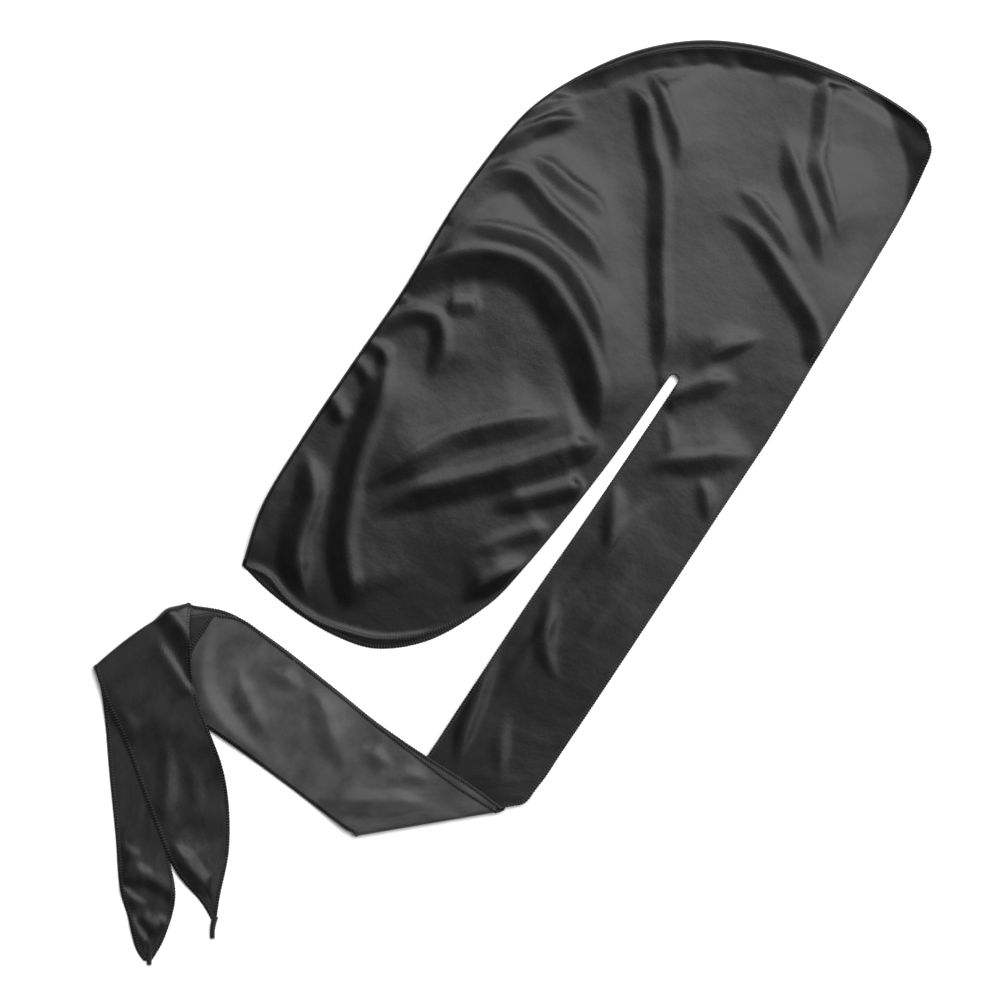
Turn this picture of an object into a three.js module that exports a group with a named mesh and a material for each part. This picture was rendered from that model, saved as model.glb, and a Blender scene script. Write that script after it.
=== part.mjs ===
// A black satin durag laid flat, folded in half along its crown seam, with its two long ties folded over
// twice. All sizes are in millimetres. In the pattern's own frame the hairline edge lies along Y at x = 0,
// the slit between neck flap and tie ends at y = 0, the forehead is towards +Y and +Z is up.
import * as THREE from "three";

// Driving sizes
const wall = 1.1; // satin with its turned hems, as one wall
const clearance = 0.3; // clear space between layers that lie on each other
const layer = wall + clearance;
const seamWidth = 2.8;
const seamHeight = 2.2;
const slitLevel = -3.5; // where the slit's round end starts, and where each side is divided
const slitRadius = 3.55;
const slitCentre = -76.8;
const tieLevel = slitLevel - clearance; // where the ties start
const crownPuff = 7; // how far the upper side stands off the lower one over the head
const flapPuff = 3.2; // and over the neck
const curlReach = 15; // width of the upper side's margin that curls up to the seam
const foldFade = 0.22; // share of a fold's length over which it fades at each end
const foldLift = 3.4; // height of a tie that lies on another stretch of tie
const dropLength = 16; // length in which a tie comes down from there to the surface
const upperTieLag = 4; // how much later the upper tie comes down past the second leg than the lower one
const lowerTieLag = 3; // how much later the lower tie comes down past the first leg than the upper one
const rollSteps = 6; // facets round a folded edge
const seamSteps = 72; // stretches of the crown seam
const seamEnds = { from: 0.006, to: 0.993 }; // where its ridge starts and stops, as shares of the seam line
const shoulderX = -221; // where the crown's back edge turns into its top
const hemTurnX = -118; // where the flap's side turns into its hem
const rowGrading = 1.35; // how much closer the crown's rows lie near its top
const tieColumns = [0, 0.08, 0.25, 0.42, 0.58, 0.75, 0.92, 1];

// Outlines, each with the few points that a smooth curve needs
const seamLine = smooth([
  [-24, 230.5], [-34, 234], [-65, 235.5], [-100, 232], [-150, 219], [-190, 198], [-221, 169], [-245, 132],
  [-260, 95], [-266, 45], [-266.5, 0], [-264, -50], [-265.2, -120], [-265.5, -180], [-263, -230], [-252, -270.5],
]);
const hairlinePoints = [
  [-0.6, slitLevel], [-1.5, 20], [-4.5, 80], [-7, 140], [-9, 175], [-13, 205], [-17, 222],
];
const lowerHemPoints = [
  [-80.35, slitLevel], [-82, -65], [-86, -120], [-91, -165], [-97.5, -200], [-118, -243], [-145, -267.5],
  [-170, -275], [-200, -277], [-228, -275],
];
const upperHemPoints = [
  [-80.35, slitLevel], [-82, -65], [-86, -120], [-91, -165], [-97.5, -200], [-119, -238.5], [-145, -260.5],
  [-168, -269.5], [-190, -274.5], [-214, -273.2], [-234, -267.4],
];

// How the upper side rises off the lower one: from the seam's margin over seamReach, to its full height
// hairReach in from the hairline, where the hairline itself keeps hairShare of it, and down again towards the
// tie's root and the flap's hem. headFrom and headReach place the change from flapPuff to crownPuff along Y,
// and folds start foldMargin outside the upper side's edge and are full foldReach further in.
const upperRise = {
  seamMargin: 3, seamReach: 42, hairReach: 45, hairShare: 0.72, rootReach: 48, hemReach: 26,
  headFrom: -60, headReach: 110, foldMargin: 4, foldReach: 14,
};

// The section of the crown's rolled edge with the seam on it. across is the share of the seam's width, or is
// left out where the point lies on the fold, and up is the share of the height there.
const seamSection = [
  { up: 0 }, { across: 1, up: 0 }, { across: 0.86, up: 1 }, { across: 0.14, up: 1 }, { up: 0.55 },
];

// The crown's rolled edge: how far it lifts the seam, and how far in from the fold the seam runs, where at is
// the share of the fold's length from the forehead
const seamProfile = [
  { at: 0, lift: 6.0, inset: 0.3 },
  { at: 0.08, lift: 5.0, inset: 0.3 },
  { at: 0.16, lift: 4.0, inset: 4.0 },
  { at: 0.26, lift: 3.6, inset: 4.6 },
  { at: 0.35, lift: 3.0, inset: 4.0 },
  { at: 0.42, lift: 1.0, inset: 0.4 },
  { at: 0.48, lift: 0.0, inset: 0.3 },
  { at: 1, lift: 0.0, inset: 0.3 },
];

// Folds of the upper side. Each ridge runs from (fromX, fromY) through (viaX, viaY) to (toX, toY), falls off
// over left on its left and right on its right, and stands height above the cloth beside it.
const sideFolds = [
  { fromX: -212, fromY: 154, viaX: -156, viaY: 103, toX: -86, toY: -2, height: 5.2, left: 20, right: 11 },
  { fromX: -110, fromY: 196, viaX: -80, viaY: 157, toX: -30, toY: 123, height: 4.0, left: 17, right: 10 },
  { fromX: -120, fromY: 114, viaX: -75, viaY: 108, toX: -6, toY: 76, height: 4.2, left: 17, right: 11 },
  { fromX: -264, fromY: 42, viaX: -228, viaY: 56, toX: -160, toY: 48, height: 4.2, left: 12, right: 12 },
  { fromX: -266, fromY: -6, viaX: -192, viaY: 13, toX: -97, toY: -54, height: 5.0, left: 14, right: 14 },
  { fromX: -250, fromY: 20, viaX: -200, viaY: 28, toX: -150, toY: 8, height: 1.6, left: 9, right: 8 },
  { fromX: -264, fromY: 82, viaX: -250, viaY: 96, toX: -222, toY: 112, height: 2.6, left: 9, right: 8 },
  { fromX: -70, fromY: 20, viaX: -57, viaY: 32, toX: -40, toY: 58, height: 1.4, left: 8, right: 6 },
  { fromX: -68, fromY: -10, viaX: -56, viaY: 4, toX: -38, toY: 22, height: 2.4, left: 11, right: 8 },
  { fromX: -62, fromY: -52, viaX: -36, viaY: -33, toX: -2, toY: -9, height: 3.0, left: 14, right: 10 },
  { fromX: -248, fromY: -76, viaX: -233, viaY: -116, toX: -217, toY: -164, height: 3.0, left: 8, right: 8 },
  { fromX: -224, fromY: -176, viaX: -186, viaY: -126, toX: -150, toY: -68, height: 4.0, left: 11, right: 11 },
  { fromX: -192, fromY: -172, viaX: -151, viaY: -120, toX: -104, toY: -60, height: 4.2, left: 11, right: 11 },
  { fromX: -132, fromY: -136, viaX: -108, viaY: -111, toX: -84, toY: -88, height: 3.0, left: 8, right: 9 },
  { fromX: -117, fromY: -206, viaX: -108, viaY: -168, toX: -92, toY: -124, height: 2.8, left: 9, right: 8 },
  { fromX: -260, fromY: -172, viaX: -229, viaY: -217, toX: -186, toY: -270, height: 4.0, left: 10, right: 10 },
  { fromX: -216, fromY: -188, viaX: -196, viaY: -221, toX: -174, toY: -252, height: 2.8, left: 8, right: 9 },
  { fromX: -262, fromY: -226, viaX: -250, viaY: -246, toX: -232, toY: -266, height: 2.2, left: 8, right: 9 },
];

// Folds of the ties' legs, where nothing lies on them
const nearFirstLegFolds = [
  { fromX: -70, fromY: -200, viaX: -62, viaY: -245, toX: -50, toY: -286, height: 1.6, left: 7, right: 6 },
  { fromX: -66, fromY: -78, viaX: -57, viaY: -106, toX: -42, toY: -132, height: 1.1, left: 9, right: 8 },
  { fromX: -62, fromY: -165, viaX: -52, viaY: -196, toX: -28, toY: -214, height: 1.1, left: 9, right: 8 },
];
const nearThirdLegFolds = [
  { fromX: -284, fromY: -336, viaX: -258, viaY: -350, toX: -232, toY: -359, height: 2.0, left: 5, right: 9 },
  { fromX: -278, fromY: -322, viaX: -264, viaY: -327, toX: -248, toY: -338, height: 3.4, left: 8, right: 7 },
  { fromX: -236, fromY: -392, viaX: -214, viaY: -422, toX: -196, toY: -456, height: 1.8, left: 9, right: 9 },
  { fromX: -188, fromY: -442, viaX: -168, viaY: -447, toX: -150, toY: -455, height: 1.8, left: 10, right: 10 },
];
const farSecondLegFolds = [
  { fromX: -168, fromY: -316, viaX: -142, viaY: -328, toX: -112, toY: -347, height: 1.8, left: 11, right: 11 },
  { fromX: -226, fromY: -318, viaX: -212, viaY: -350, toX: -168, toY: -364, height: 1.6, left: 9, right: 9 },
  { fromX: -122, fromY: -371, viaX: -98, viaY: -358, toX: -62, toY: -330, height: 1.6, left: 10, right: 10 },
];
const farThirdLegFolds = [
  { fromX: -212, fromY: -490, viaX: -186, viaY: -495, toX: -160, toY: -498, height: 1.6, left: 8, right: 8 },
  { fromX: -190, fromY: -509, viaX: -172, viaY: -512, toX: -154, toY: -518, height: 1.6, left: 7, right: 6 },
];

// Sections of the ties, from the slit to the point. left is the slit's edge of the cloth, right the
// hairline's, and bow moves the middle of a section off the straight line between them. Each tie has three
// legs: down, across the first leg, and down again across the second.
const nearTieLegs = [
  [
    { leftX: -73.2, leftY: tieLevel, rightX: -0.6, rightY: tieLevel, steps: 4 },
    { leftX: -72.6, leftY: -60, rightX: -0.8, rightY: -60, steps: 5 },
    { leftX: -74, leftY: -120, rightX: -0.5, rightY: -120, steps: 4 },
    { leftX: -75.5, leftY: -180, rightX: -0.5, rightY: -180, steps: 6 },
    { leftX: -75.5, leftY: -258, rightX: -0.7, rightY: -246, steps: 3 },
    { leftX: -76.5, leftY: -330, rightX: -1.6, rightY: -288, steps: 3 },
    { leftX: -88, leftY: -379.8, rightX: -10.2, rightY: -307.1, steps: 0 },
  ],
  [
    { leftX: -88, leftY: -379.8, rightX: -14, rightY: -310.5, steps: 2 },
    { leftX: -92.5, leftY: -381, rightX: -42, rightY: -309, steps: 2 },
    { leftX: -101, leftY: -380.8, rightX: -78, rightY: -309.7, steps: 4 },
    { leftX: -118, leftY: -380, rightX: -116, rightY: -309.2, steps: 3 },
    { leftX: -150, leftY: -378, rightX: -150, rightY: -306, steps: 5 },
    { leftX: -212, leftY: -376, rightX: -208, rightY: -301.5, steps: 3 },
    { leftX: -258, leftY: -378.5, rightX: -242, rightY: -302.5, steps: 3 },
    { leftX: -295.6, leftY: -384.6, rightX: -265.3, rightY: -312.1, bowX: -1.4, bowY: 6, steps: 0 },
  ],
  [
    { leftX: -295.6, leftY: -384.6, rightX: -264.5, rightY: -313.5, bowX: -1.7, bowY: 6.9, steps: 2 },
    { leftX: -285, leftY: -393, rightX: -257.5, rightY: -325.5, steps: 2 },
    { leftX: -272, leftY: -402.3, rightX: -250, rightY: -336, steps: 2 },
    { leftX: -258, leftY: -410.8, rightX: -240, rightY: -350, steps: 2 },
    { leftX: -243, leftY: -421, rightX: -225, rightY: -364.3, steps: 3 },
    { leftX: -205, leftY: -449, rightX: -183, rightY: -396.5, steps: 3 },
    { leftX: -175, leftY: -468.7, rightX: -154, rightY: -435, steps: 2 },
    { leftX: -148, leftY: -477.3, rightX: -140.5, rightY: -467, steps: 2 },
    { leftX: -135, leftY: -483.6, rightX: -133.3, rightY: -482.6, steps: 0 },
  ],
];
const farTieLegs = [
  [
    { leftX: -73.4, leftY: tieLevel, rightX: -0.9, rightY: tieLevel, steps: 3 },
    { leftX: -74, leftY: -120, rightX: -0.9, rightY: -120, steps: 6 },
    { leftX: -75.2, leftY: -258, rightX: -1, rightY: -246, steps: 3 },
    { leftX: -76.5, leftY: -330, rightX: -2, rightY: -288, steps: 3 },
    { leftX: -88, leftY: -379.8, rightX: -12, rightY: -308.8, steps: 0 },
  ],
  [
    { leftX: -88, leftY: -379.8, rightX: -17.4, rightY: -313.8, steps: 2 },
    { leftX: -92.5, leftY: -380.6, rightX: -48, rightY: -314.4, steps: 2 },
    { leftX: -101, leftY: -380.4, rightX: -80, rightY: -312.4, steps: 4 },
    { leftX: -118, leftY: -379.6, rightX: -116, rightY: -310, steps: 3 },
    { leftX: -150, leftY: -377.6, rightX: -150, rightY: -306.5, steps: 5 },
    { leftX: -212, leftY: -375.5, rightX: -208, rightY: -302, steps: 3 },
    { leftX: -258, leftY: -378.5, rightX: -233, rightY: -301.4, steps: 2 },
    { leftX: -294.2, leftY: -383.6, rightX: -248.8, rightY: -308, bowX: -7, bowY: 6, steps: 0 },
  ],
  [
    { leftX: -293.8, leftY: -384.4, rightX: -248.9, rightY: -309, bowX: -7, bowY: 6, steps: 2 },
    { leftX: -283, leftY: -396, rightX: -248.7, rightY: -323, bowX: -3, bowY: 3, steps: 2 },
    { leftX: -271.5, leftY: -409.6, rightX: -247.6, rightY: -338, steps: 3 },
    { leftX: -250, leftY: -437, rightX: -232, rightY: -370, steps: 3 },
    { leftX: -222, leftY: -471.5, rightX: -209, rightY: -420, steps: 3 },
    { leftX: -200, leftY: -499.5, rightX: -187.5, rightY: -459, steps: 2 },
    { leftX: -184, leftY: -513.5, rightX: -166, rightY: -483, steps: 2 },
    { leftX: -168, leftY: -528, rightX: -156.3, rightY: -512, steps: 2 },
    { leftX: -159.5, leftY: -531.8, rightX: -155.2, rightY: -527.5, steps: 0 },
  ],
];

// Looks
const satin = new THREE.MeshStandardMaterial({ color: 0x1d1d1f, roughness: 0.42, metalness: 0 });
const thread = new THREE.MeshStandardMaterial({ color: 0x161617, roughness: 0.7, metalness: 0 });

// A smooth curve in the plane through a few points
function smooth(points) {
  const places = points.map(([x, y]) => new THREE.Vector3(x, y, 0));
  const curve = new THREE.CatmullRomCurve3(places, false, "centripetal");
  curve.arcLengthDivisions = 500;
  return curve;
}

function smoothstep(t) {
  const s = THREE.MathUtils.clamp(t, 0, 1);
  return s * s * (3 - 2 * s);
}

// Share of a curve's length at which it first passes a value of x or y, between two shares
function shareWhere(curve, axis, value, low = 0, high = 1) {
  const side = Math.sign(curve.getPointAt(low)[axis] - value);
  for (let i = 0; i < 40; i++) {
    const middle = (low + high) / 2;
    if (Math.sign(curve.getPointAt(middle)[axis] - value) === side) low = middle;
    else high = middle;
  }
  return (low + high) / 2;
}

// A stretch of a curve, as a function of 0 to 1
function stretch(curve, from, to) {
  return (t) => curve.getPointAt(from + (to - from) * t);
}

// Distance to a curve, the share of its length at the nearest point, and whether the place is on its left
function nearestOn(curve, samples = 240) {
  const points = curve.getSpacedPoints(samples);
  return (x, y) => {
    let best = { distance: Infinity };
    for (let i = 0; i < samples; i++) {
      const a = points[i];
      const alongX = points[i + 1].x - a.x;
      const alongY = points[i + 1].y - a.y;
      const share = ((x - a.x) * alongX + (y - a.y) * alongY) / (alongX ** 2 + alongY ** 2);
      const t = THREE.MathUtils.clamp(share, 0, 1);
      const distance = Math.hypot(x - a.x - t * alongX, y - a.y - t * alongY);
      if (distance < best.distance) {
        const onLeft = alongX * (y - a.y) > alongY * (x - a.x);
        best = { distance, share: (i + t) / samples, onLeft };
      }
    }
    return best;
  };
}

// A value from a table's column at a place along it
function fromTable(table, column, at) {
  let i = 0;
  while (i < table.length - 2 && at > table[i + 1].at) i++;
  const t = (at - table[i].at) / (table[i + 1].at - table[i].at);
  return THREE.MathUtils.lerp(table[i][column], table[i + 1][column], smoothstep(t));
}

// Three points on a section or ridge: a share from 0 at the first to 1 at the last
function bend(first, middle, last, t) {
  return first * (2 * t - 1) * (t - 1) + middle * 4 * t * (1 - t) + last * t * (2 * t - 1);
}

// Height that a table of folds adds at a place
function foldHeight(folds) {
  const ridges = folds.map((fold) => ({
    ...fold,
    nearest: nearestOn(smooth([[fold.fromX, fold.fromY], [fold.viaX, fold.viaY], [fold.toX, fold.toY]]), 24),
  }));
  return (x, y) => ridges.reduce((sum, fold) => {
    const { distance, share, onLeft } = fold.nearest(x, y);
    const reach = onLeft ? fold.left : fold.right;
    const ends = smoothstep(share / foldFade) * smoothstep((1 - share) / foldFade);
    return sum + fold.height * ends * Math.exp(-((distance / reach) ** 2));
  }, 0);
}

// A closed cloth solid from its under and upper points and the quads between them, seen from above
function closedCloth(under, upper, quads) {
  const count = under.length;
  const index = [];
  const edges = new Map();
  for (const [a, b, c, d] of quads) {
    const across = upper[a].distanceTo(upper[c]) <= upper[b].distanceTo(upper[d]);
    const halves = across ? [[a, b, c], [a, c, d]] : [[a, b, d], [b, c, d]];
    for (const [p, q, r] of halves) {
      if (p === q || q === r || r === p) continue;
      index.push(p + count, q + count, r + count, p, r, q);
      for (const [from, to] of [[p, q], [q, r], [r, p]]) edges.set(`${from} ${to}`, [from, to]);
    }
  }
  for (const [from, to] of edges.values()) {
    if (edges.has(`${to} ${from}`)) continue;
    index.push(from + count, from, to, from + count, to, to + count);
  }
  const geometry = new THREE.BufferGeometry();
  geometry.setAttribute("position", new THREE.Float32BufferAttribute(
    [...under, ...upper].flatMap((point) => point.toArray()), 3,
  ));
  geometry.setIndex(index);
  geometry.computeVertexNormals();
  return geometry;
}

// A grid of points on a patch between four edges, shared with the patches beside it
class Sheet {
  constructor() {
    this.points = [];
    this.quads = [];
    this.known = new Map();
  }

  point(place) {
    const key = `${place.x.toFixed(3)} ${place.y.toFixed(3)}`;
    if (!this.known.has(key)) {
      this.known.set(key, this.points.length);
      this.points.push(place);
    }
    return this.known.get(key);
  }

  patch({ bottom, top, left, right, columns, rows }) {
    const corner = [bottom(0), bottom(1), top(0), top(1)];
    const grid = rows.map((v) => columns.map((u) => {
      const place = bottom(u).clone().multiplyScalar(1 - v).addScaledVector(top(u), v);
      place.addScaledVector(left(v), 1 - u).addScaledVector(right(v), u);
      place.addScaledVector(corner[0], -(1 - u) * (1 - v)).addScaledVector(corner[1], -u * (1 - v));
      place.addScaledVector(corner[2], -(1 - u) * v).addScaledVector(corner[3], -u * v);
      return this.point(place);
    }));
    for (let j = 0; j < rows.length - 1; j++) {
      for (let i = 0; i < columns.length - 1; i++) {
        this.quads.push([grid[j][i], grid[j][i + 1], grid[j + 1][i + 1], grid[j + 1][i]]);
      }
    }
  }
}

function evenly(count) {
  return Array.from({ length: count + 1 }, (_, i) => i / count);
}

// Shares from 0 to 1 that lie closer together towards 1
function closingIn(count, power) {
  return evenly(count).map((share) => 1 - (1 - share) ** power);
}

// A side's crown half and neck flap, between its seam edge, its hairline and its flap's hem
function sidePanel({ seamEdge, hairline, hem }, cells) {
  const { flapColumns, slitColumns, rootColumns, crownRows, flapRows } = cells;
  const shoulder = shareWhere(seamEdge, "x", shoulderX, 0, 0.5);
  const waist = shareWhere(seamEdge, "y", slitLevel, 0.2, 1);
  const hemTurn = shareWhere(hem, "x", hemTurnX);
  const back = seamEdge.getPointAt(waist).x;
  const front = hairline.getPointAt(0).x;
  const columnCount = flapColumns + slitColumns + rootColumns;

  // Along the slit's level, from the back to the hairline, over the slit's round end
  function levelLine(u) {
    const column = u * columnCount;
    const place = new THREE.Vector3(0, slitLevel, 0);
    if (column <= flapColumns) {
      place.x = THREE.MathUtils.lerp(back, slitCentre - slitRadius, column / flapColumns);
    } else if (column < flapColumns + slitColumns) {
      const angle = Math.PI * (1 - (column - flapColumns) / slitColumns);
      place.x = slitCentre + slitRadius * Math.cos(angle);
      place.y += slitRadius * Math.sin(angle);
    } else {
      const share = (column - flapColumns - slitColumns) / rootColumns;
      place.x = THREE.MathUtils.lerp(slitCentre + slitRadius, front, share);
    }
    return place;
  }

  const sheet = new Sheet();
  sheet.patch({
    bottom: levelLine,
    top: stretch(seamEdge, shoulder, 0),
    left: stretch(seamEdge, waist, shoulder),
    right: stretch(hairline, 0, 1),
    columns: evenly(columnCount),
    rows: closingIn(crownRows, rowGrading),
  });
  sheet.patch({
    bottom: stretch(hem, 1, hemTurn),
    top: (u) => levelLine(u * flapColumns / columnCount),
    left: stretch(seamEdge, 1, waist),
    right: stretch(hem, hemTurn, 0),
    columns: evenly(flapColumns),
    rows: evenly(flapRows),
  });
  return sheet;
}

// The same curve moved in from the outline, by a distance that changes along it
function movedIn(curve, distanceAt, count = 60) {
  return smooth(evenly(count).map((share) => {
    const point = curve.getPointAt(share);
    const ahead = curve.getTangentAt(share);
    const distance = distanceAt(share);
    return [point.x - ahead.y * distance, point.y + ahead.x * distance];
  }));
}

// A free edge that ends on the seam's edge
function edgeTo(points, seamPoint) {
  return smooth([...points, [seamPoint.x, seamPoint.y]]);
}

const upperSeamEdge = movedIn(seamLine, (at) => fromTable(seamProfile, "inset", at) + seamWidth + clearance);
const upperEdges = {
  seamEdge: upperSeamEdge,
  hairline: edgeTo(hairlinePoints, upperSeamEdge.getPointAt(0)),
  hem: edgeTo(upperHemPoints, upperSeamEdge.getPointAt(1)),
};
const lowerEdges = {
  seamEdge: seamLine,
  hairline: edgeTo(hairlinePoints, seamLine.getPointAt(0)),
  hem: edgeTo(lowerHemPoints, seamLine.getPointAt(1)),
};
const toUpper = {
  seamEdge: nearestOn(upperEdges.seamEdge),
  hairline: nearestOn(upperEdges.hairline),
  hem: nearestOn(upperEdges.hem),
};
const sideFoldHeight = foldHeight(sideFolds);

// How far the upper side is lifted where it curls up to the seam
function seamCurl(x, y) {
  const { distance, share } = toUpper.seamEdge(x, y);
  return fromTable(seamProfile, "lift", share) * (1 - smoothstep(distance / curlReach));
}

// Underside of the upper side's crown half and flap
function upperHeight(x, y) {
  const fromSeam = toUpper.seamEdge(x, y).distance;
  const fromHair = toUpper.hairline(x, y).distance;
  const fromHem = y < slitLevel ? toUpper.hem(x, y).distance : Infinity;
  const fromRoot = Math.hypot(Math.max(slitCentre - x, 0), y - slitLevel);
  const overHead = smoothstep((y - upperRise.headFrom) / upperRise.headReach);
  const puff = THREE.MathUtils.lerp(flapPuff, crownPuff, overHead);
  const atHair = THREE.MathUtils.lerp(upperRise.hairShare, 1, smoothstep(fromHair / upperRise.hairReach));
  const rise = puff * atHair * smoothstep((fromSeam - upperRise.seamMargin) / upperRise.seamReach)
    * smoothstep(fromRoot / upperRise.rootReach) * smoothstep(fromHem / upperRise.hemReach);
  const folds = sideFoldHeight(x, y) * smoothstep((fromSeam + upperRise.foldMargin) / upperRise.foldReach);
  return layer + rise + seamCurl(x, y) + folds;
}

// A side's solid, with its underside at a height that is worked out for each place
function sideSolid(sheet, height) {
  const under = sheet.points.map(({ x, y }) => new THREE.Vector3(x, y, height(x, y)));
  const upper = under.map((point) => point.clone().setZ(point.z + wall));
  return closedCloth(under, upper, sheet.quads);
}

// A closed solid swept through rings of points, which run clockwise seen along the sweep
function sweep(rings) {
  const sides = rings[0].length;
  const last = (rings.length - 1) * sides;
  const index = [];
  for (let i = 0; i < rings.length - 1; i++) {
    for (let k = 0; k < sides; k++) {
      const a = i * sides + k;
      const b = i * sides + ((k + 1) % sides);
      index.push(a, b, a + sides, b, b + sides, a + sides);
    }
  }
  for (let k = 1; k < sides - 1; k++) {
    index.push(0, k + 1, k, last, last + k, last + k + 1);
  }
  const geometry = new THREE.BufferGeometry();
  const positions = rings.flat().flatMap((point) => point.toArray());
  geometry.setAttribute("position", new THREE.Float32BufferAttribute(positions, 3));
  geometry.setIndex(index);
  geometry.computeVertexNormals();
  return geometry;
}

// The seam: the lower side's margin, rolled up and over on itself, with the seam's ridge along its top
function crownSeam() {
  return sweep(evenly(seamSteps).map((step) => {
    const at = THREE.MathUtils.lerp(seamEnds.from, seamEnds.to, step);
    const point = seamLine.getPointAt(at);
    const ahead = seamLine.getTangentAt(at);
    const inset = fromTable(seamProfile, "inset", at);
    const height = fromTable(seamProfile, "lift", at) + seamHeight;
    return seamSection.map(({ across, up }) => {
      const distance = across === undefined ? clearance : inset + across * seamWidth;
      return new THREE.Vector3(
        point.x - ahead.y * distance, point.y + ahead.x * distance, layer + up * height,
      );
    });
  }));
}

// Sections of one leg of a tie, spaced between the rows of its table
function legSections(rows) {
  const left = smooth(rows.map((row) => [row.leftX, row.leftY]));
  const right = smooth(rows.map((row) => [row.rightX, row.rightY]));
  const middle = smooth(rows.map((row) => [
    (row.leftX + row.rightX) / 2 + (row.bowX ?? 0), (row.leftY + row.rightY) / 2 + (row.bowY ?? 0),
  ]));
  return rows.flatMap((row, i) => evenly(row.steps).slice(0, Math.max(row.steps, 1)).map((part) => {
    const t = (i + (part || 0)) / (rows.length - 1);
    return { left: left.getPoint(t), middle: middle.getPoint(t), right: right.getPoint(t) };
  }));
}

// Points across a section, at the height of the leg there
function acrossSection({ left, middle, right }, height) {
  return tieColumns.map((share) => {
    const x = bend(left.x, middle.x, right.x, share);
    const y = bend(left.y, middle.y, right.y, share);
    return new THREE.Vector3(x, y, height(x, y));
  });
}

// Rows round the folded edge between a leg's last row and the next leg's first
function foldedEdge(before, after, turn) {
  const along = before.at(-1).clone().sub(before[0]).setZ(0).normalize();
  const outward = new THREE.Vector3(-along.y, along.x, 0).multiplyScalar(turn);
  return evenly(rollSteps).slice(1, -1).map((part) => before.map((from, j) => {
    const radius = (after[j].z - from.z) / 2;
    const place = from.clone().lerp(after[j], part);
    place.z = from.z + radius * (1 - Math.cos(Math.PI * part));
    return place.addScaledVector(outward, radius * Math.sin(Math.PI * part));
  }));
}

// A tie's solid: the wall about the rows of its three legs and the folded edges between them
function tieSolid(legs, heights) {
  const rows = legs.map((leg, i) => legSections(leg).map((section) => acrossSection(section, heights[i])));
  return ribbon([
    ...rows[0], ...foldedEdge(rows[0].at(-1), rows[1][0], -1),
    ...rows[1], ...foldedEdge(rows[1].at(-1), rows[2][0], 1), ...rows[2],
  ], wall);
}

// A closed ribbon of one thickness about rows of points
function ribbon(rows, thickness) {
  const width = rows[0].length;
  const middle = rows.flat();
  const normals = middle.map(() => new THREE.Vector3());
  const quads = [];
  for (let j = 0; j < rows.length - 1; j++) {
    for (let i = 0; i < width - 1; i++) {
      const quad = [j * width + i, (j + 1) * width + i, (j + 1) * width + i + 1, j * width + i + 1];
      const [a, b, c, d] = quad.map((k) => middle[k]);
      const normal = c.clone().sub(a).cross(d.clone().sub(b)).normalize();
      quad.forEach((k) => normals[k].add(normal));
      quads.push(quad);
    }
  }
  const offset = (distance) => middle.map((place, k) => (
    place.clone().addScaledVector(normals[k].clone().normalize(), distance)
  ));
  return closedCloth(offset(-thickness / 2), offset(thickness / 2), quads);
}

// The left edge of the ties' first leg, under the second, and the lower edge of the second, under the third
const firstLeg = { edgeX: -77.3, footShift: 11, footFrom: -310, footReach: 70 };
const secondLeg = { edgeY: -385.5, fromX: -298, slope: 0.08 };

function firstLegEdge(y) {
  return firstLeg.edgeX - firstLeg.footShift * smoothstep((firstLeg.footFrom - y) / firstLeg.footReach);
}

function secondLegEdge(x) {
  return secondLeg.edgeY + (x - secondLeg.fromX) * secondLeg.slope;
}

// A leg that lies on the one before and comes down past its edge, later by a lag where it is the upper tie
function overFirstLeg(floor, lag) {
  return (x, y) => floor + foldLift * (1 - smoothstep((firstLegEdge(y) - lag - x) / dropLength));
}

function overSecondLeg(floor, lag) {
  return (x, y) => floor + foldLift * (1 - smoothstep((secondLegEdge(x) - lag - y) / dropLength));
}

const onFloor = wall / 2;
const onOne = onFloor + layer;

// Where the crown's folds run out down the ties' roots, and where the upper tie settles beside the lower one
const rootFade = { to: -75, reach: 25 };
const settling = { from: -372, reach: 22, gap: 1.2, width: 15 };

function nearTie() {
  const rootFolds = (x, y) => sideFoldHeight(x, y) * smoothstep((y - rootFade.to) / rootFade.reach);
  const firstFolds = foldHeight(nearFirstLegFolds);
  const thirdFolds = foldHeight(nearThirdLegFolds);
  const overSecond = overSecondLeg(onOne, upperTieLag);
  const lowerTieHem = nearestOn(smooth(farTieLegs[2].map((row) => [row.rightX, row.rightY])));
  const settled = (x, y) => {
    const { distance, onLeft } = lowerTieHem(x, y);
    const along = smoothstep((settling.from - y) / settling.reach);
    return onLeft ? along * smoothstep((distance - settling.gap) / settling.width) : 0;
  };
  return tieSolid(nearTieLegs, [
    (x, y) => onOne + rootFolds(x, y) + firstFolds(x, y),
    overFirstLeg(onFloor, 0),
    (x, y) => overSecond(x, y) - layer * settled(x, y) + thirdFolds(x, y),
  ]);
}

function farTie() {
  const secondFolds = foldHeight(farSecondLegFolds);
  const thirdFolds = foldHeight(farThirdLegFolds);
  const overFirst = overFirstLeg(onOne, lowerTieLag);
  const overSecond = overSecondLeg(onFloor, 0);
  return tieSolid(farTieLegs, [
    () => onFloor,
    (x, y) => overFirst(x, y) + secondFolds(x, y),
    (x, y) => overSecond(x, y) + thirdFolds(x, y),
  ]);
}

// The loose end of a hem's overlocking, lying on the surface: loops along it, with a narrower waist between
const threadShape = { steps: 6, sides: 8, loops: 3, waist: 0.75, lift: 0.05 };

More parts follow.
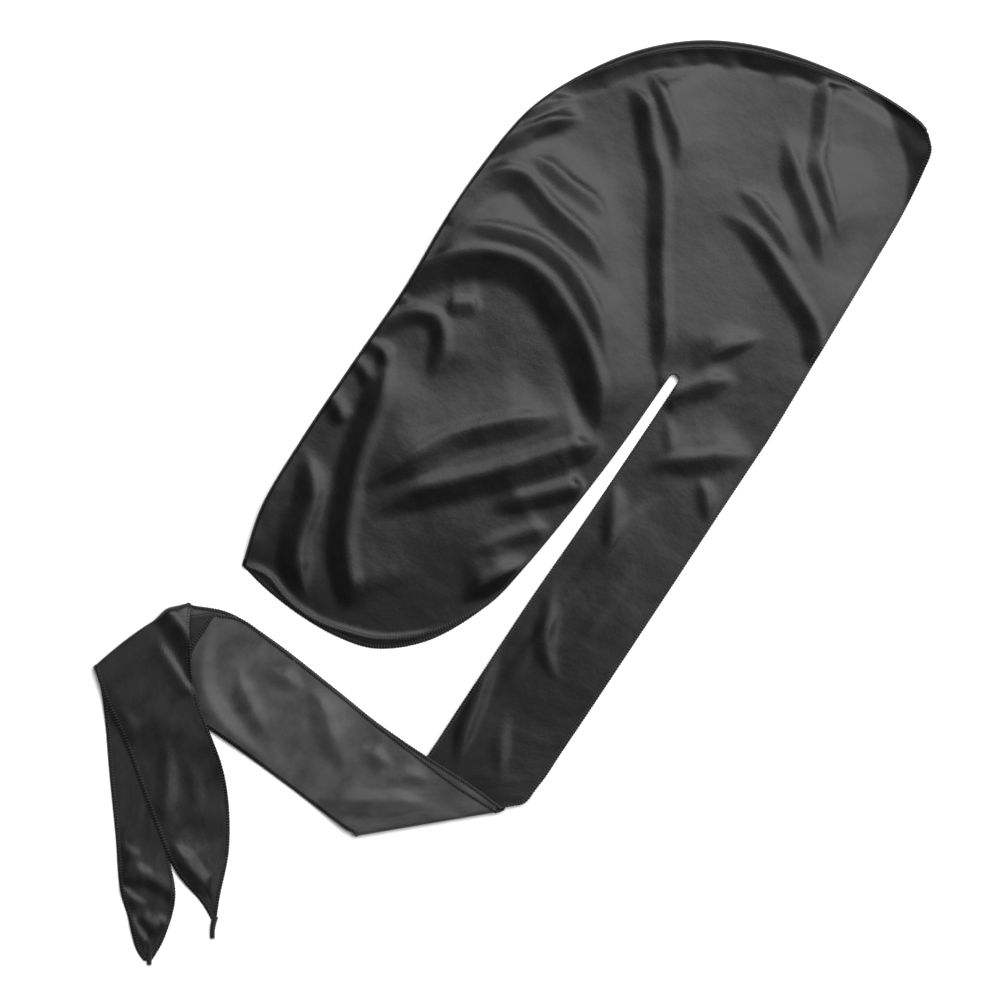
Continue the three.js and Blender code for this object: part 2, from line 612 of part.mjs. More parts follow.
function threadEnd({ points, width, height }) {
  const line = smooth(points);
  return sweep(evenly(threadShape.steps).map((share) => {
    const point = line.getPointAt(share);
    const ahead = line.getTangentAt(share);
    const loop = Math.sin(Math.PI * share * threadShape.loops) ** 2;
    const full = THREE.MathUtils.lerp(threadShape.waist, 1, loop);
    return evenly(threadShape.sides).slice(0, -1).map((turn) => {
      const side = Math.cos(turn * 2 * Math.PI) * full * width / 2;
      const up = threadShape.lift + height / 2 - Math.sin(turn * 2 * Math.PI) * height / 2;
      return new THREE.Vector3(point.x + ahead.y * side, point.y - ahead.x * side, up);
    });
  }));
}

const nearThread = { points: [[-134, -483.7], [-132.2, -488.5], [-129, -493.6]], width: 2.6, height: 1.2 };
const farThread = { points: [[-157, -530.2], [-155.8, -531.6], [-154.2, -532.6]], width: 3, height: 1.2 };
const upperCells = { flapColumns: 19, slitColumns: 2, rootColumns: 7, crownRows: 22, flapRows: 25 };
const lowerCells = { flapColumns: 10, slitColumns: 2, rootColumns: 4, crownRows: 12, flapRows: 13 };
const pieces = [
  { name: "near_panel", geometry: sideSolid(sidePanel(upperEdges, upperCells), upperHeight), finish: satin },
  { name: "far_panel", geometry: sideSolid(sidePanel(lowerEdges, lowerCells), () => 0), finish: satin },
  { name: "crown_seam", geometry: crownSeam(), finish: thread },
  { name: "near_tie", geometry: nearTie(), finish: satin },
  { name: "far_tie", geometry: farTie(), finish: satin },
  { name: "near_tip_thread", geometry: threadEnd(nearThread), finish: thread },
  { name: "far_tip_thread", geometry: threadEnd(farThread), finish: thread },
];

const durag = new THREE.Group();
for (const { name, geometry, finish } of pieces) {
  const mesh = new THREE.Mesh(geometry, finish);
  mesh.name = name;
  durag.add(mesh);
}

// The origin is under the middle of the whole durag, on the surface that it lies on
const box = new THREE.Box3().setFromObject(durag);
const centre = box.getCenter(new THREE.Vector3());
durag.position.set(-centre.x, -centre.y, -box.min.z);

export default durag;
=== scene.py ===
# A black satin durag, laid flat, folded in half along its crown seam, with two long ties folded over twice.
# Lengths in the tables are millimetres in the pattern's frame: the hairline edge lies along y near x = 0, the
# slit between neck flap and tie ends near y = 0, the forehead is towards +y and z is up.
import math

import bmesh
import bpy
import numpy as np
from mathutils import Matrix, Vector, noise


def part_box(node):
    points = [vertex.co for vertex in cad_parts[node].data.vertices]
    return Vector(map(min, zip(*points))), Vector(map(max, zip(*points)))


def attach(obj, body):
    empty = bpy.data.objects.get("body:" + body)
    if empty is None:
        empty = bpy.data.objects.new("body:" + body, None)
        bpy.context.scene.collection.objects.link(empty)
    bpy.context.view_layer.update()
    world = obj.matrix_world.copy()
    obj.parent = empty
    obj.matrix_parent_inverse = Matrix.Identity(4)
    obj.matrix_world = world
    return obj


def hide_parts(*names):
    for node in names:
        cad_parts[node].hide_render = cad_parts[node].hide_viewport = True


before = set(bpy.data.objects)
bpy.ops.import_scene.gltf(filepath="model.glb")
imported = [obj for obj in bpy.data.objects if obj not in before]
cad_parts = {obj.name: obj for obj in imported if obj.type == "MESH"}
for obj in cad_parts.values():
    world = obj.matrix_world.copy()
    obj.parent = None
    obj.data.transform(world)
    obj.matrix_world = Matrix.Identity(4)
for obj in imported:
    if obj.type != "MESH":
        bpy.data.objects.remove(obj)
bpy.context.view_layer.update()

mm = 0.001
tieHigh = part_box("near_tie")[1]
tieMargin = {"x": 0.30, "y": 3.73}  # from the pattern's axes to the upper tie's edge and top
origin = np.array([tieHigh.x / mm + tieMargin["x"], tieHigh.y / mm + tieMargin["y"], 0])


# Smooth lines in the plane

class Line:
    # A smooth line through a few points, read by a count of points or by a share of its length
    stepsPerPoint = 40
    searchSteps = 2000

    def __init__(self, points):
        given = np.array(points, float)
        first, last = 2 * given[:1] - given[1:2], 2 * given[-1:] - given[-2:-1]
        p = np.vstack([first, given, last])
        gap = np.sqrt(np.linalg.norm(np.diff(p, axis=0), axis=1))[:, None]
        before, here, after, beyond = p[:-3], p[1:-2], p[2:-1], p[3:]
        g0, g1, g2 = gap[:-2], gap[1:-1], gap[2:]
        leave = ((here - before) / g0 - (after - before) / (g0 + g1) + (after - here) / g1) * g1
        arrive = ((after - here) / g1 - (beyond - here) / (g1 + g2) + (beyond - after) / g2) * g1
        bow = 3 * (after - here) - 2 * leave - arrive
        twist = 2 * (here - after) + leave + arrive
        self.cubic = np.stack([here, leave, bow, twist], axis=1)
        self.counts = np.linspace(0, len(given) - 1, self.stepsPerPoint * (len(given) - 1) + 1)
        steps = np.linalg.norm(np.diff(self.at(self.counts), axis=0), axis=1)
        self.run = np.concatenate([[0], np.cumsum(steps)])
        self.length = self.run[-1]

    def at(self, count):
        count = np.asarray(count, float)
        i = np.clip(np.floor(count).astype(int), 0, len(self.cubic) - 1)
        t = (count - i)[..., None]
        c = self.cubic[i]
        return c[..., 0, :] + t * (c[..., 1, :] + t * (c[..., 2, :] + t * c[..., 3, :]))

    def along(self, share):
        return self.at(np.interp(np.asarray(share) * self.length, self.run, self.counts))

    def ahead(self, share, step=0.001):
        low, high = np.clip(share - step, 0, 1), np.clip(share + step, 0, 1)
        way = self.along(high) - self.along(low)
        return way / np.linalg.norm(way, axis=-1, keepdims=True)

    def shareWhere(self, axis, value, low=0.0, high=1.0):
        shares = np.linspace(low, high, self.searchSteps + 1)
        offset = self.along(shares)[:, axis] - value
        i = int(np.argmax(np.sign(offset) != np.sign(offset[0])))
        return shares[i - 1] + (shares[i] - shares[i - 1]) * offset[i - 1] / (offset[i - 1] - offset[i])

    def nearest(self, x, y, samples=100):
        # Distance, share of the length at the nearest place, and whether the point is on the line's left
        p = self.along(np.linspace(0, 1, samples + 1))
        best = np.full(np.shape(x), np.inf)
        share = np.zeros(np.shape(x))
        left = np.zeros(np.shape(x), bool)
        for i in range(samples):
            way = p[i + 1] - p[i]
            t = np.clip(((x - p[i, 0]) * way[0] + (y - p[i, 1]) * way[1]) / (way @ way), 0, 1)
            distance = np.hypot(x - p[i, 0] - t * way[0], y - p[i, 1] - t * way[1])
            closer = distance < best
            best = np.where(closer, distance, best)
            share = np.where(closer, (i + t) / samples, share)
            left = np.where(closer, way[0] * (y - p[i, 1]) > way[1] * (x - p[i, 0]), left)
        return best, share, left


xAxis, yAxis = 0, 1


def smoothstep(t):
    s = np.clip(t, 0, 1)
    return s * s * (3 - 2 * s)


def lerp(a, b, t):
    return a + (b - a) * t


def fromTable(table, column, at):
    # A value from a table's column at a place along it, eased between rows
    places = np.array([row[0] for row in table], float)
    values = np.array([row[column] for row in table], float)
    i = np.clip(np.searchsorted(places, at, side="right") - 1, 0, len(places) - 2)
    t = (at - places[i]) / (places[i + 1] - places[i])
    return lerp(values[i], values[i + 1], smoothstep(t))


def movedIn(line, distanceAt, count=60):
    # The same line moved to its left, by a distance that changes along it
    share = np.linspace(0, 1, count + 1)
    point, ahead, distance = line.along(share), line.ahead(share), distanceAt(share)[:, None]
    return Line(point + np.stack([-ahead[:, 1], ahead[:, 0]], axis=1) * distance)


# The cloth's measures

cloth = {
    "wall": 1.1,  # room for one layer with its hems
    "clearance": 0.3,  # clear space between layers
    "thickness": 0.3,  # the satin itself
    "cell": 2.05,  # size of the mesh's quads
    "crownPuff": 1.6, "flapPuff": 0.8,  # how far the upper side stands off over head and neck
    "foldLift": 3.4, "dropLength": 36,  # a tie that lies on another stretch of tie, and where it comes down
    "rollSteps": 10, "rest": 0.02,  # rows in a rolled edge, and the lowest that anything lies
    "join": 0.02, "tubeJoin": 1e-4,  # how close two points lie that are one, in cloth and in cord
    "flat": (0.27, 1.02), "area": 0.146,  # the cut of one side, in metres and square metres
}
layer = cloth["wall"] + cloth["clearance"]
onFloor = cloth["wall"] / 2
onOne = onFloor + layer

slit = {"level": -3.5, "radius": 3.55, "centre": -76.8, "columns": 8}
panel = {
    "shoulder": -221, "shoulderBefore": 0.5, "waistAfter": 0.2, "hemTurn": -118,  # where its corners are
    "depth": 235, "crownEase": 1.2,  # its rows, and how they thin out
}
seam = {
    "width": 1.4, "samples": 200,
    "turn": 0.5, "turnSteps": 4, "cover": 0.1,  # the lower side's turn at its edge, and its climb past it
    "pucker": 0.2, "puckerSize": 13, "foot": 0.3, "crest": 0.01,  # the margin that curls up to the seam
}

seamLine = Line([
    (-24, 230.5), (-34, 234), (-65, 235.5), (-100, 232), (-150, 219), (-190, 198), (-221, 169), (-245, 132),
    (-260, 95), (-266, 45), (-266.5, 0), (-264, -50), (-265.2, -120), (-265.5, -180), (-263, -230),
    (-252, -270.5),
])
hairlinePoints = [(-0.6, slit["level"]), (-1.5, 20), (-4.5, 80), (-7, 140), (-9, 175), (-13, 205), (-17, 222)]
lowerHemPoints = [
    (-80.35, slit["level"]), (-82, -65), (-86, -120), (-91, -165), (-97.5, -200), (-118, -243),
    (-145, -267.5), (-170, -275), (-200, -277), (-228, -275),
]
upperHemPoints = [
    (-80.35, slit["level"]), (-82, -65), (-86, -120), (-91, -165), (-97.5, -200), (-119, -238.5),
    (-145, -260.5), (-168, -269.5), (-190, -274.5), (-214, -273.2), (-234, -267.4),
]
# Share of the seam's length from the forehead, lift off the surface, inset from the fold, and how far the
# upper side curls up to it
seamProfile = [
    (0, 0.6, 0.3, 6), (0.025, 0.8, 0.3, 6), (0.055, 1.8, 0.3, 6), (0.10, 1.8, 0.9, 6),
    (0.135, 5.0, 3.0, 12), (0.18, 6.6, 4.6, 14.5), (0.26, 6.4, 4.6, 14), (0.34, 5.2, 3.8, 13),
    (0.42, 1.8, 0.4, 9), (0.48, 0.3, 0.3, 8), (0.84, 0.3, 0.3, 8), (0.92, 2.6, 0.3, 15),
    (0.97, 2.2, 0.3, 13), (1, 0.6, 0.3, 8),
]
liftColumn, insetColumn, curlColumn = 1, 2, 3

# Folds: points down the middle of the steep side, with the crest on their left, then the height, the width
# of the steep and of the gentle side, the most of the height that falls off in the even band next to the
# crest, and the shares of the fold over which each end fades
sideFolds = [
    ([(-215, 146), (-205, 141), (-195, 134), (-180, 117), (-165, 104), (-150, 83), (-135, 59), (-120, 38),
      (-105, 17), (-88, -8)], 4.3, 14, 40, 0.45, 0.1, 0.13),
    ([(-209, 162), (-196, 153), (-182, 143), (-166, 131), (-154, 113)], 2.6, 10, 22, 0.5, 0.25, 0.3),
    ([(-110, 180), (-96, 163), (-85, 152), (-70, 142), (-58, 133), (-42, 120), (-34, 112)],
     4.2, 14, 32, 0.45, 0.32, 0.3),
    ([(-106, 224), (-96, 203), (-88, 188), (-80, 171), (-70, 162), (-57, 151), (-42, 141), (-27, 132)],
     3.1, 12, 24, 0.45, 0.06, 0.35),
    ([(-117, 107), (-95, 106), (-80, 102), (-60, 93), (-40, 84), (-20, 74), (-2, 54)],
     4.6, 15, 35, 0.45, 0.32, 0.1),
    ([(-116, 128), (-95, 123), (-75, 116), (-50, 106)], 2.3, 11, 19, 0.5, 0.3, 0.35),
    ([(-266, 82), (-254, 96), (-246, 107), (-233, 121)], 3.2, 8, 12, 0.5, 0.06, 0.4),
    ([(-268, 54), (-257, 68), (-248, 82), (-238, 94), (-222, 112)], 5.4, 13, 16, 0.5, 0.06, 0.35),
    ([(-268, -2), (-262, 10), (-257, 24), (-249, 42), (-238, 48), (-228, 46), (-208, 41), (-195, 39),
      (-181, 37), (-165, 33), (-142, 25)], 5.4, 19, 24, 0.4, 0.05, 0.3),
    ([(-244, 68), (-225, 66), (-209, 64), (-190, 63), (-170, 60)], 2.3, 12, 16, 0.5, 0.25, 0.3),
    ([(-268, -56), (-257, -44), (-242, -24), (-229, -13), (-210, -5), (-188, -5), (-168, -13), (-147, -24),
      (-128, -39), (-111, -57), (-98, -74)], 7.4, 24, 35, 0.42, 0.05, 0.2),
    ([(-258, 0), (-245, 6), (-229, 12), (-204, 19), (-182, 17), (-162, 9), (-138, -7), (-118, -25)],
     2.6, 13, 19, 0.5, 0.2, 0.3),
    ([(-72, 5), (-66, 14), (-58, 25.5), (-50, 38), (-38, 56)], 3.2, 11, 11, 0.6, 0.45, 0.45),
    ([(-72, -23), (-64, -13), (-56, -3), (-46, 9), (-36, 20)], 3.8, 15, 12, 0.6, 0.1, 0.4),
    ([(-60, -76), (-47, -58.6), (-28, -43.4), (-8, -25.4), (2, -15)], 4.0, 15, 17, 0.5, 0.4, 0.35),
    ([(-70, -27), (-60, -40), (-50, -54)], 1.0, 7, 7, 0.6, 0.4, 0.4),
    ([(-232, -51), (-222, -44), (-210, -37)], 2.4, 11, 12, 0.5, 0.3, 0.3),
    ([(-263, -92), (-255, -77), (-246, -67), (-235, -63), (-227, -70), (-222, -82), (-217, -97)],
     3.2, 12, 15, 0.5, 0.06, 0.3),
    ([(-255, -86), (-247, -112), (-239, -144), (-232, -172), (-221, -198), (-208, -224), (-191, -243),
      (-176, -260)], 5.4, 18, 28, 0.62, 0.22, 0.12),
    ([(-217, -189), (-206, -175), (-193, -155), (-175, -122), (-151, -96), (-134, -77), (-124, -64)],
     5.0, 16, 22, 0.65, 0.35, 0.25),
    ([(-196, -198), (-179, -173), (-150, -142), (-130, -120), (-110, -95), (-88, -68)],
     5.8, 19, 29, 0.62, 0.25, 0.12),
    ([(-132, -150), (-115, -133), (-100, -118), (-83, -98)], 3.6, 13, 22, 0.6, 0.35, 0.15),
    ([(-128, -182), (-113, -166), (-97, -147), (-88, -133)], 2.2, 11, 22, 0.6, 0.4, 0.2),
    ([(-114, -213), (-103, -193), (-95, -177), (-88, -158)], 4.2, 12, 19, 0.75, 0.4, 0.4),
    ([(-268, -180), (-257, -190), (-244, -210), (-238, -234), (-227, -254), (-213, -264), (-198, -270)],
     3.7, 17, 11, 0.5, 0.3, 0.3),
]
# Small puckers that the back seam's stitches pull in
sideFolds += [
    ([(-268, -100), (-254, -100), (-244, -106)], 2.0, 7, 6, 0.6, 0.05, 0.4),
    ([(-268, -117), (-257, -118), (-250, -126)], 1.7, 7, 6, 0.6, 0.05, 0.4),
    ([(-268, -146), (-258, -150), (-250, -158)], 2.2, 10, 8, 0.6, 0.05, 0.4),
    ([(-268, -64), (-260, -62), (-252, -58)], 1.4, 6, 5, 0.6, 0.05, 0.4),
]
nearFirstLegFolds = [
    ([(-54, -306), (-58, -286), (-63, -262), (-69, -240), (-76, -212)], 2.4, 9, 7, 0.6, 0.3, 0.4),
    ([(-22, -298), (-34, -274), (-47, -250)], 1.3, 8, 7, 0.6, 0.5, 0.5),
    ([(-76, -80), (-69, -94), (-62, -110), (-47, -134)], 2.2, 10, 8, 0.6, 0.4, 0.5),
    ([(-72, -154), (-66, -180), (-52, -208), (-26, -222)], 2.0, 10, 8, 0.6, 0.5, 0.4),
    ([(-28, -48), (-18, -60), (-4, -74)], 1.7, 8, 7, 0.6, 0.4, 0.4),
    ([(-52, -150), (-60, -190), (-62, -228), (-58, -262)], 1.3, 7, 7, 0.6, 0.4, 0.4),
    ([(-30, -120), (-36, -160), (-34, -200)], 0.9, 8, 9, 0.6, 0.4, 0.4),
    ([(-40, -70), (-52, -100), (-58, -130), (-60, -160)], 1.4, 8, 8, 0.6, 0.4, 0.4),
]
nearThirdLegFolds = [
    ([(-229, -361), (-246, -354), (-262, -347), (-276, -341)], 1.7, 4, 14, 0.5, 0.15, 0.4),
    ([(-290, -328), (-277, -331), (-264, -335), (-252, -340), (-243, -346), (-235, -355)],
     5.8, 13, 12, 0.5, 0.2, 0.1),
    ([(-200, -450), (-202, -434), (-211, -416), (-222, -403), (-234, -392)], 2.1, 9, 14, 0.5, 0.25, 0.5),
    ([(-214, -400), (-203, -412), (-193, -429), (-190, -446)], 1.8, 9, 14, 0.5, 0.4, 0.3),
    ([(-190, -454), (-174, -465), (-158, -470), (-144, -471)], 3.8, 12, 18, 0.7, 0.35, 0.25),
    ([(-270, -398), (-256, -407), (-246, -417)], 1.6, 8, 8, 0.6, 0.5, 0.5),
]
farSecondLegFolds = [
    ([(-170, -316), (-160, -322), (-147, -335), (-116, -350)], 4.4, 13, 15, 0.5, 0.35, 0.4),
    ([(-156, -372), (-204, -361), (-226, -348), (-238, -328), (-246, -308)], 3.2, 12, 12, 0.5, 0.4, 0.35),
    ([(-128, -382), (-110, -374), (-88, -362), (-54, -336)], 3.4, 13, 14, 0.5, 0.4, 0.3),
    ([(-200, -322), (-184, -324), (-168, -318)], 3.2, 11, 11, 0.5, 0.45, 0.45),
    ([(-120, -332), (-104, -334), (-90, -328)], 2.6, 11, 11, 0.5, 0.45, 0.45),
    ([(-218, -326), (-210, -342), (-192, -354), (-170, -362)], 3.0, 9, 10, 0.5, 0.4, 0.4),
    ([(-90, -340), (-76, -332), (-62, -322)], 2.2, 10, 11, 0.5, 0.45, 0.45),
]
farThirdLegFolds = [
    ([(-204, -497), (-194, -491), (-184, -487), (-174, -486), (-162, -488)], 2.6, 7, 14, 0.3, 0.2, 0.2),
    ([(-178, -497), (-190, -498), (-204, -495)], 1.3, 5, 5, 0.6, 0.3, 0.3),
    ([(-161, -519), (-171, -516), (-184, -508)], 1.3, 5, 5, 0.6, 0.3, 0.3),
    ([(-164, -518), (-161, -508), (-158, -498)], 1.6, 6, 7, 0.6, 0.3, 0.3),
    ([(-180, -511), (-171, -511), (-163, -512)], 1.6, 5, 7, 0.6, 0.3, 0.3),
    ([(-200, -471), (-208, -472.5), (-216, -471)], 1.1, 5, 5, 0.6, 0.4, 0.4),
    ([(-187, -476), (-194, -478.5), (-203, -477)], 1.0, 5, 5, 0.6, 0.4, 0.4),
]

# Sections of the ties' legs: the slit's edge x and y, the hairline's edge x and y, and how far the middle
# bows, where it does
nearTieLegs = [
    [
        (-73.25, slit["level"], -0.6, slit["level"]), (-72.6, -60, -0.8, -60),
        (-74, -120, -0.5, -120), (-75.5, -180, -0.5, -180), (-75.5, -258, -0.7, -246),
        (-76.5, -330, -1.6, -288), (-82, -357, -2.8, -299.3), (-88, -379.8, -10.2, -307.1),
    ],
    [
        (-88, -379.8, -14, -310.5), (-92.5, -381, -42, -309), (-101, -380.8, -78, -309.7),
        (-118, -380, -116, -309.2), (-150, -378, -150, -306), (-212, -376, -208, -301.5),
        (-258, -378.5, -242, -302.5), (-295.6, -384.6, -265.3, -312.1, -1.4, 6),
    ],
    [
        (-295.6, -384.6, -264.5, -313.5, -1.7, 6.9), (-285, -393, -257.5, -325.5),
        (-272, -402.3, -250, -336), (-258, -410.8, -240, -350),
        (-243, -421, -225, -364.3), (-205, -449, -183, -396.5),
        (-175, -468.7, -154, -435), (-148, -477.3, -140.5, -467),
        (-135, -483.6, -133.3, -482.6),
    ],
]
farTieLegs = [
    [
        (-73.25, slit["level"], -0.6, slit["level"]), (-74, -120, -0.9, -120),
        (-75.2, -258, -1, -246), (-76.5, -330, -2, -288), (-88, -379.8, -12, -308.8),
    ],
    [
        (-88, -379.8, -17.4, -313.8), (-92.5, -380.6, -48, -314.4),
        (-101, -380.4, -80, -312.4), (-118, -379.6, -116, -310),
        (-150, -377.6, -150, -306.5), (-212, -375.5, -208, -302),
        (-258, -378.5, -233, -301.4), (-294.2, -383.6, -248.8, -308, -7, 6),
    ],
    [
        (-293.8, -384.4, -248.9, -309, -7, 6), (-283, -396, -248.7, -323, -3, 3),
        (-271.5, -409.6, -247.6, -338), (-250, -437, -232, -370),
        (-222, -471.5, -209, -420), (-200, -499.5, -187.5, -459),
        (-184, -513.5, -166, -483), (-168, -528, -156.3, -512),
        (-159.5, -531.8, -155.2, -527.5),
    ],
]


# Heights

foldShape = {
    "foot": 0.3, "crest": 0.14,  # shares of the steep side that round its foot and its crest
    "taper": 0.6,  # how much narrower a fold gets where its ends fade
    "band": 6.0, "flapBand": 9.0, "bandSlope": 0.17, "bandRound": 0.3,
    "flapFrom": -110, "flapReach": 120,  # where the flap's wider bands change to the crown's
    "samples": 16,  # for each point of a fold's line
}


def ramp(t, foot, crest):
    # An even climb from 0 to 1 that is rounded over these shares of it, at its foot and at its crest
    t = np.clip(t, 0, 1)
    full = 1 - foot / 2 - crest / 2
    climb = np.where(t < foot, t * t / (2 * foot), t - foot / 2)
    return np.where(t > 1 - crest, full - (1 - t) ** 2 / (2 * crest), climb) / full


def foldHeight(folds, x, y):
    # Next to the crest a fold falls as an even band, then it runs out gently
    total = np.zeros(np.shape(x))
    towardsCrown = smoothstep((y - foldShape["flapFrom"]) / foldShape["flapReach"])
    bandWidth = lerp(foldShape["flapBand"], foldShape["band"], towardsCrown)
    for points, height, steep, gentle, bandShare, fadeIn, fadeOut in folds:
        distance, share, left = Line(points).nearest(x, y, foldShape["samples"] * len(points))
        ends = smoothstep(share / fadeIn) * smoothstep((1 - share) / fadeOut)
        narrowed = 1 - foldShape["taper"] * (1 - ends)
        width = steep * narrowed
        beyond = np.where(left, distance, -distance) - width / 2
        band = np.minimum(bandShare, foldShape["bandSlope"] * bandWidth / height)
        bandSide = ramp(1 - beyond / (bandWidth * narrowed), foldShape["bandRound"], foldShape["bandRound"])
        gentleSide = band * bandSide + (1 - band) * np.exp(-((beyond / (gentle * narrowed)) ** 2))
        steepSide = ramp(beyond / width + 1, foldShape["foot"], foldShape["crest"])
        total += height * ends * np.where(beyond > 0, gentleSide, steepSide)
    return total


def waves(x, y, size):
    # Smooth noise from about -1 to 1, with bumps of about this size
    places = np.stack([x.ravel(), y.ravel(), np.zeros(x.size)], axis=1) / size
    return np.array([noise.noise(Vector(place)) for place in places]).reshape(x.shape)


slack = {"height": 0.35, "size": 26, "broadHeight": 1.5, "broadSize": 70, "broadFloor": 0.45}


def undulation(x, y):
    # The slack of cloth that was smoothed out by hand
    broad = slack["broadHeight"] * np.maximum(waves(x, y, slack["broadSize"]) + slack["broadFloor"], 0)
    return slack["height"] * waves(x, y, slack["size"]) + broad


def seamCurl(x, y, distance, share):
    # The margin that climbs to the seam, puckered by its stitches
    reach = fromTable(seamProfile, curlColumn, share) * (1 + seam["pucker"] * waves(x, y, seam["puckerSize"]))
    return fromTable(seamProfile, liftColumn, share) * ramp(1 - distance / reach, seam["foot"], seam["crest"])


# The forehead corner is turned up from this crease
corner = {
    "crease": Line([
        (-72, 239), (-66, 234), (-56, 227), (-47, 220.5), (-36, 213.5), (-28, 207), (-21, 198.5),
        (-15, 188), (-9, 176), (-4, 162),
    ]),
    "slope": 0.46, "round": 2.0,
}


def cornerHeight(x, y):
    distance, _, beyond = corner["crease"].nearest(x, y)
    return np.where(beyond, corner["slope"] * (np.hypot(distance, corner["round"]) - corner["round"]), 0)


def edgeTo(points, seamPoint):
    return Line([*points, tuple(seamPoint)])


upperSeamEdge = movedIn(
    seamLine, lambda share: fromTable(seamProfile, insetColumn, share) + seam["width"] + cloth["clearance"])
upperHem = edgeTo(upperHemPoints, upperSeamEdge.along(1.0))
lowerHem = edgeTo(lowerHemPoints, seamLine.along(1.0))
rise = {"seamMargin": 2, "seamReach": 14, "rootReach": 48, "hemReach": 26, "headFrom": -120, "headReach": 340,
        "foldsAtSeam": 0.8, "foldReach": 14}
# The flap's hem curls up between two places across it
hemCurl = {"height": 1.5, "reach": 5.5, "low": -258, "high": -112, "fade": 18}


def alongHem(x):
    # The part of the flap's hem that curls up
    low, high, fade = hemCurl["low"], hemCurl["high"], hemCurl["fade"]
    return smoothstep((x - low) / fade) * smoothstep((high - x) / fade)


def upperHeight(x, y):
    fromSeam, share, inside = upperSeamEdge.nearest(x, y, seam["samples"])
    fromSeam = np.where(inside, fromSeam, 0) + seam["width"] / 2
    fromHem = np.where(y < slit["level"], upperHem.nearest(x, y)[0], np.inf)
    fromRoot = np.hypot(np.maximum(slit["centre"] - x, 0), y - slit["level"])
    puff = lerp(cloth["flapPuff"], cloth["crownPuff"], smoothstep((y - rise["headFrom"]) / rise["headReach"]))
    lift = puff * smoothstep((fromSeam - rise["seamMargin"]) / rise["seamReach"])
    lift = lift * smoothstep(fromRoot / rise["rootReach"]) * smoothstep(fromHem / rise["hemReach"])
    whole = lerp(rise["foldsAtSeam"], 1, smoothstep(fromSeam / rise["foldReach"]))
    folds = foldHeight(sideFolds, x, y) * whole
    lift = lift + hemCurl["height"] * alongHem(x) * (1 - smoothstep(fromHem / hemCurl["reach"]))
    return onOne + lift + seamCurl(x, y, fromSeam, share) + cornerHeight(x, y) + folds + undulation(x, y)


def seamLift(x, y, share):
    # How far the seam stands off the lower side
    folds = foldHeight(sideFolds, x, y) * rise["foldsAtSeam"]
    return fromTable(seamProfile, liftColumn, share) + cornerHeight(x, y) + folds + undulation(x, y)


lowerMargin = {"rise": 0.7, "reach": 5, "until": 9, "fade": 14}


def lowerHeight(x, y):
    # The lower flap stands off the surface a little, just inside its hem
    fromHem = np.where(y < slit["level"], lowerHem.nearest(x, y)[0], np.inf)
    inside = smoothstep(fromHem / lowerMargin["reach"])
    inside = inside * (1 - smoothstep((fromHem - lowerMargin["until"]) / lowerMargin["fade"]))
    return onFloor + lowerMargin["rise"] * inside * alongHem(x)


firstLeg = {"edgeX": -77.3, "footShift": 11, "footFrom": -310, "footReach": 70}
secondLeg = {"edgeY": -385.5, "fromX": -298, "slope": 0.08}
rootFade = {"to": -75, "reach": 25}
settling = {"from": -372, "reach": 22, "gap": 1.2, "width": 15}
tieLag = {"upper": 4, "lower": 3}


def comeDown(floor, beyond):
    # A leg lies on another one, and comes down to its own floor beyond that one's edge
    return floor + cloth["foldLift"] * (1 - smoothstep(beyond / cloth["dropLength"]))


def overFirstLeg(x, y, floor, lag):
    shift = firstLeg["footShift"] * smoothstep((firstLeg["footFrom"] - y) / firstLeg["footReach"])
    return comeDown(floor, firstLeg["edgeX"] - shift - lag - x)


def overSecondLeg(x, y, floor, lag):
    edge = secondLeg["edgeY"] + (x - secondLeg["fromX"]) * secondLeg["slope"]
    return comeDown(floor, edge - lag - y)


lowerTieHem = Line([(row[2], row[3]) for row in farTieLegs[2]])


def nearLegHeight(leg, x, y):
    # The upper tie: its third leg settles beside the lower tie's point
    if leg == 0:
        root = foldHeight(sideFolds, x, y) * smoothstep((y - rootFade["to"]) / rootFade["reach"])
        return onOne + root + foldHeight(nearFirstLegFolds, x, y) + undulation(x, y)
    if leg == 1:
        return overFirstLeg(x, y, onFloor, 0)
    distance, _, left = lowerTieHem.nearest(x, y)
    settled = smoothstep((settling["from"] - y) / settling["reach"])
    settled = np.where(left, settled * smoothstep((distance - settling["gap"]) / settling["width"]), 0)
    over = overSecondLeg(x, y, onOne, tieLag["upper"]) - layer * settled
    return over + foldHeight(nearThirdLegFolds, x, y)


def farLegHeight(leg, x, y):
    if leg == 0:
        return np.full(np.shape(x), onFloor)
    if leg == 1:
        return overFirstLeg(x, y, onOne, tieLag["lower"]) + foldHeight(farSecondLegFolds, x, y)
    return overSecondLeg(x, y, onFloor, 0) + foldHeight(farThirdLegFolds, x, y)


# One side's cloth, as grids of points

def coonsPatch(bottom, top, left, right, v):
    # Points between four edges, where left and right are read at the rows' shares v
    u = np.linspace(0, 1, len(bottom))[None, :, None]
    v = v[:, None, None]
    across = bottom[None] * (1 - v) + top[None] * v
    upward = left[:, None] * (1 - u) + right[:, None] * u
    low = bottom[0] * (1 - u) * (1 - v) + bottom[-1] * u * (1 - v)
    corners = low + top[0] * (1 - u) * v + top[-1] * u * v
    return across + upward - corners


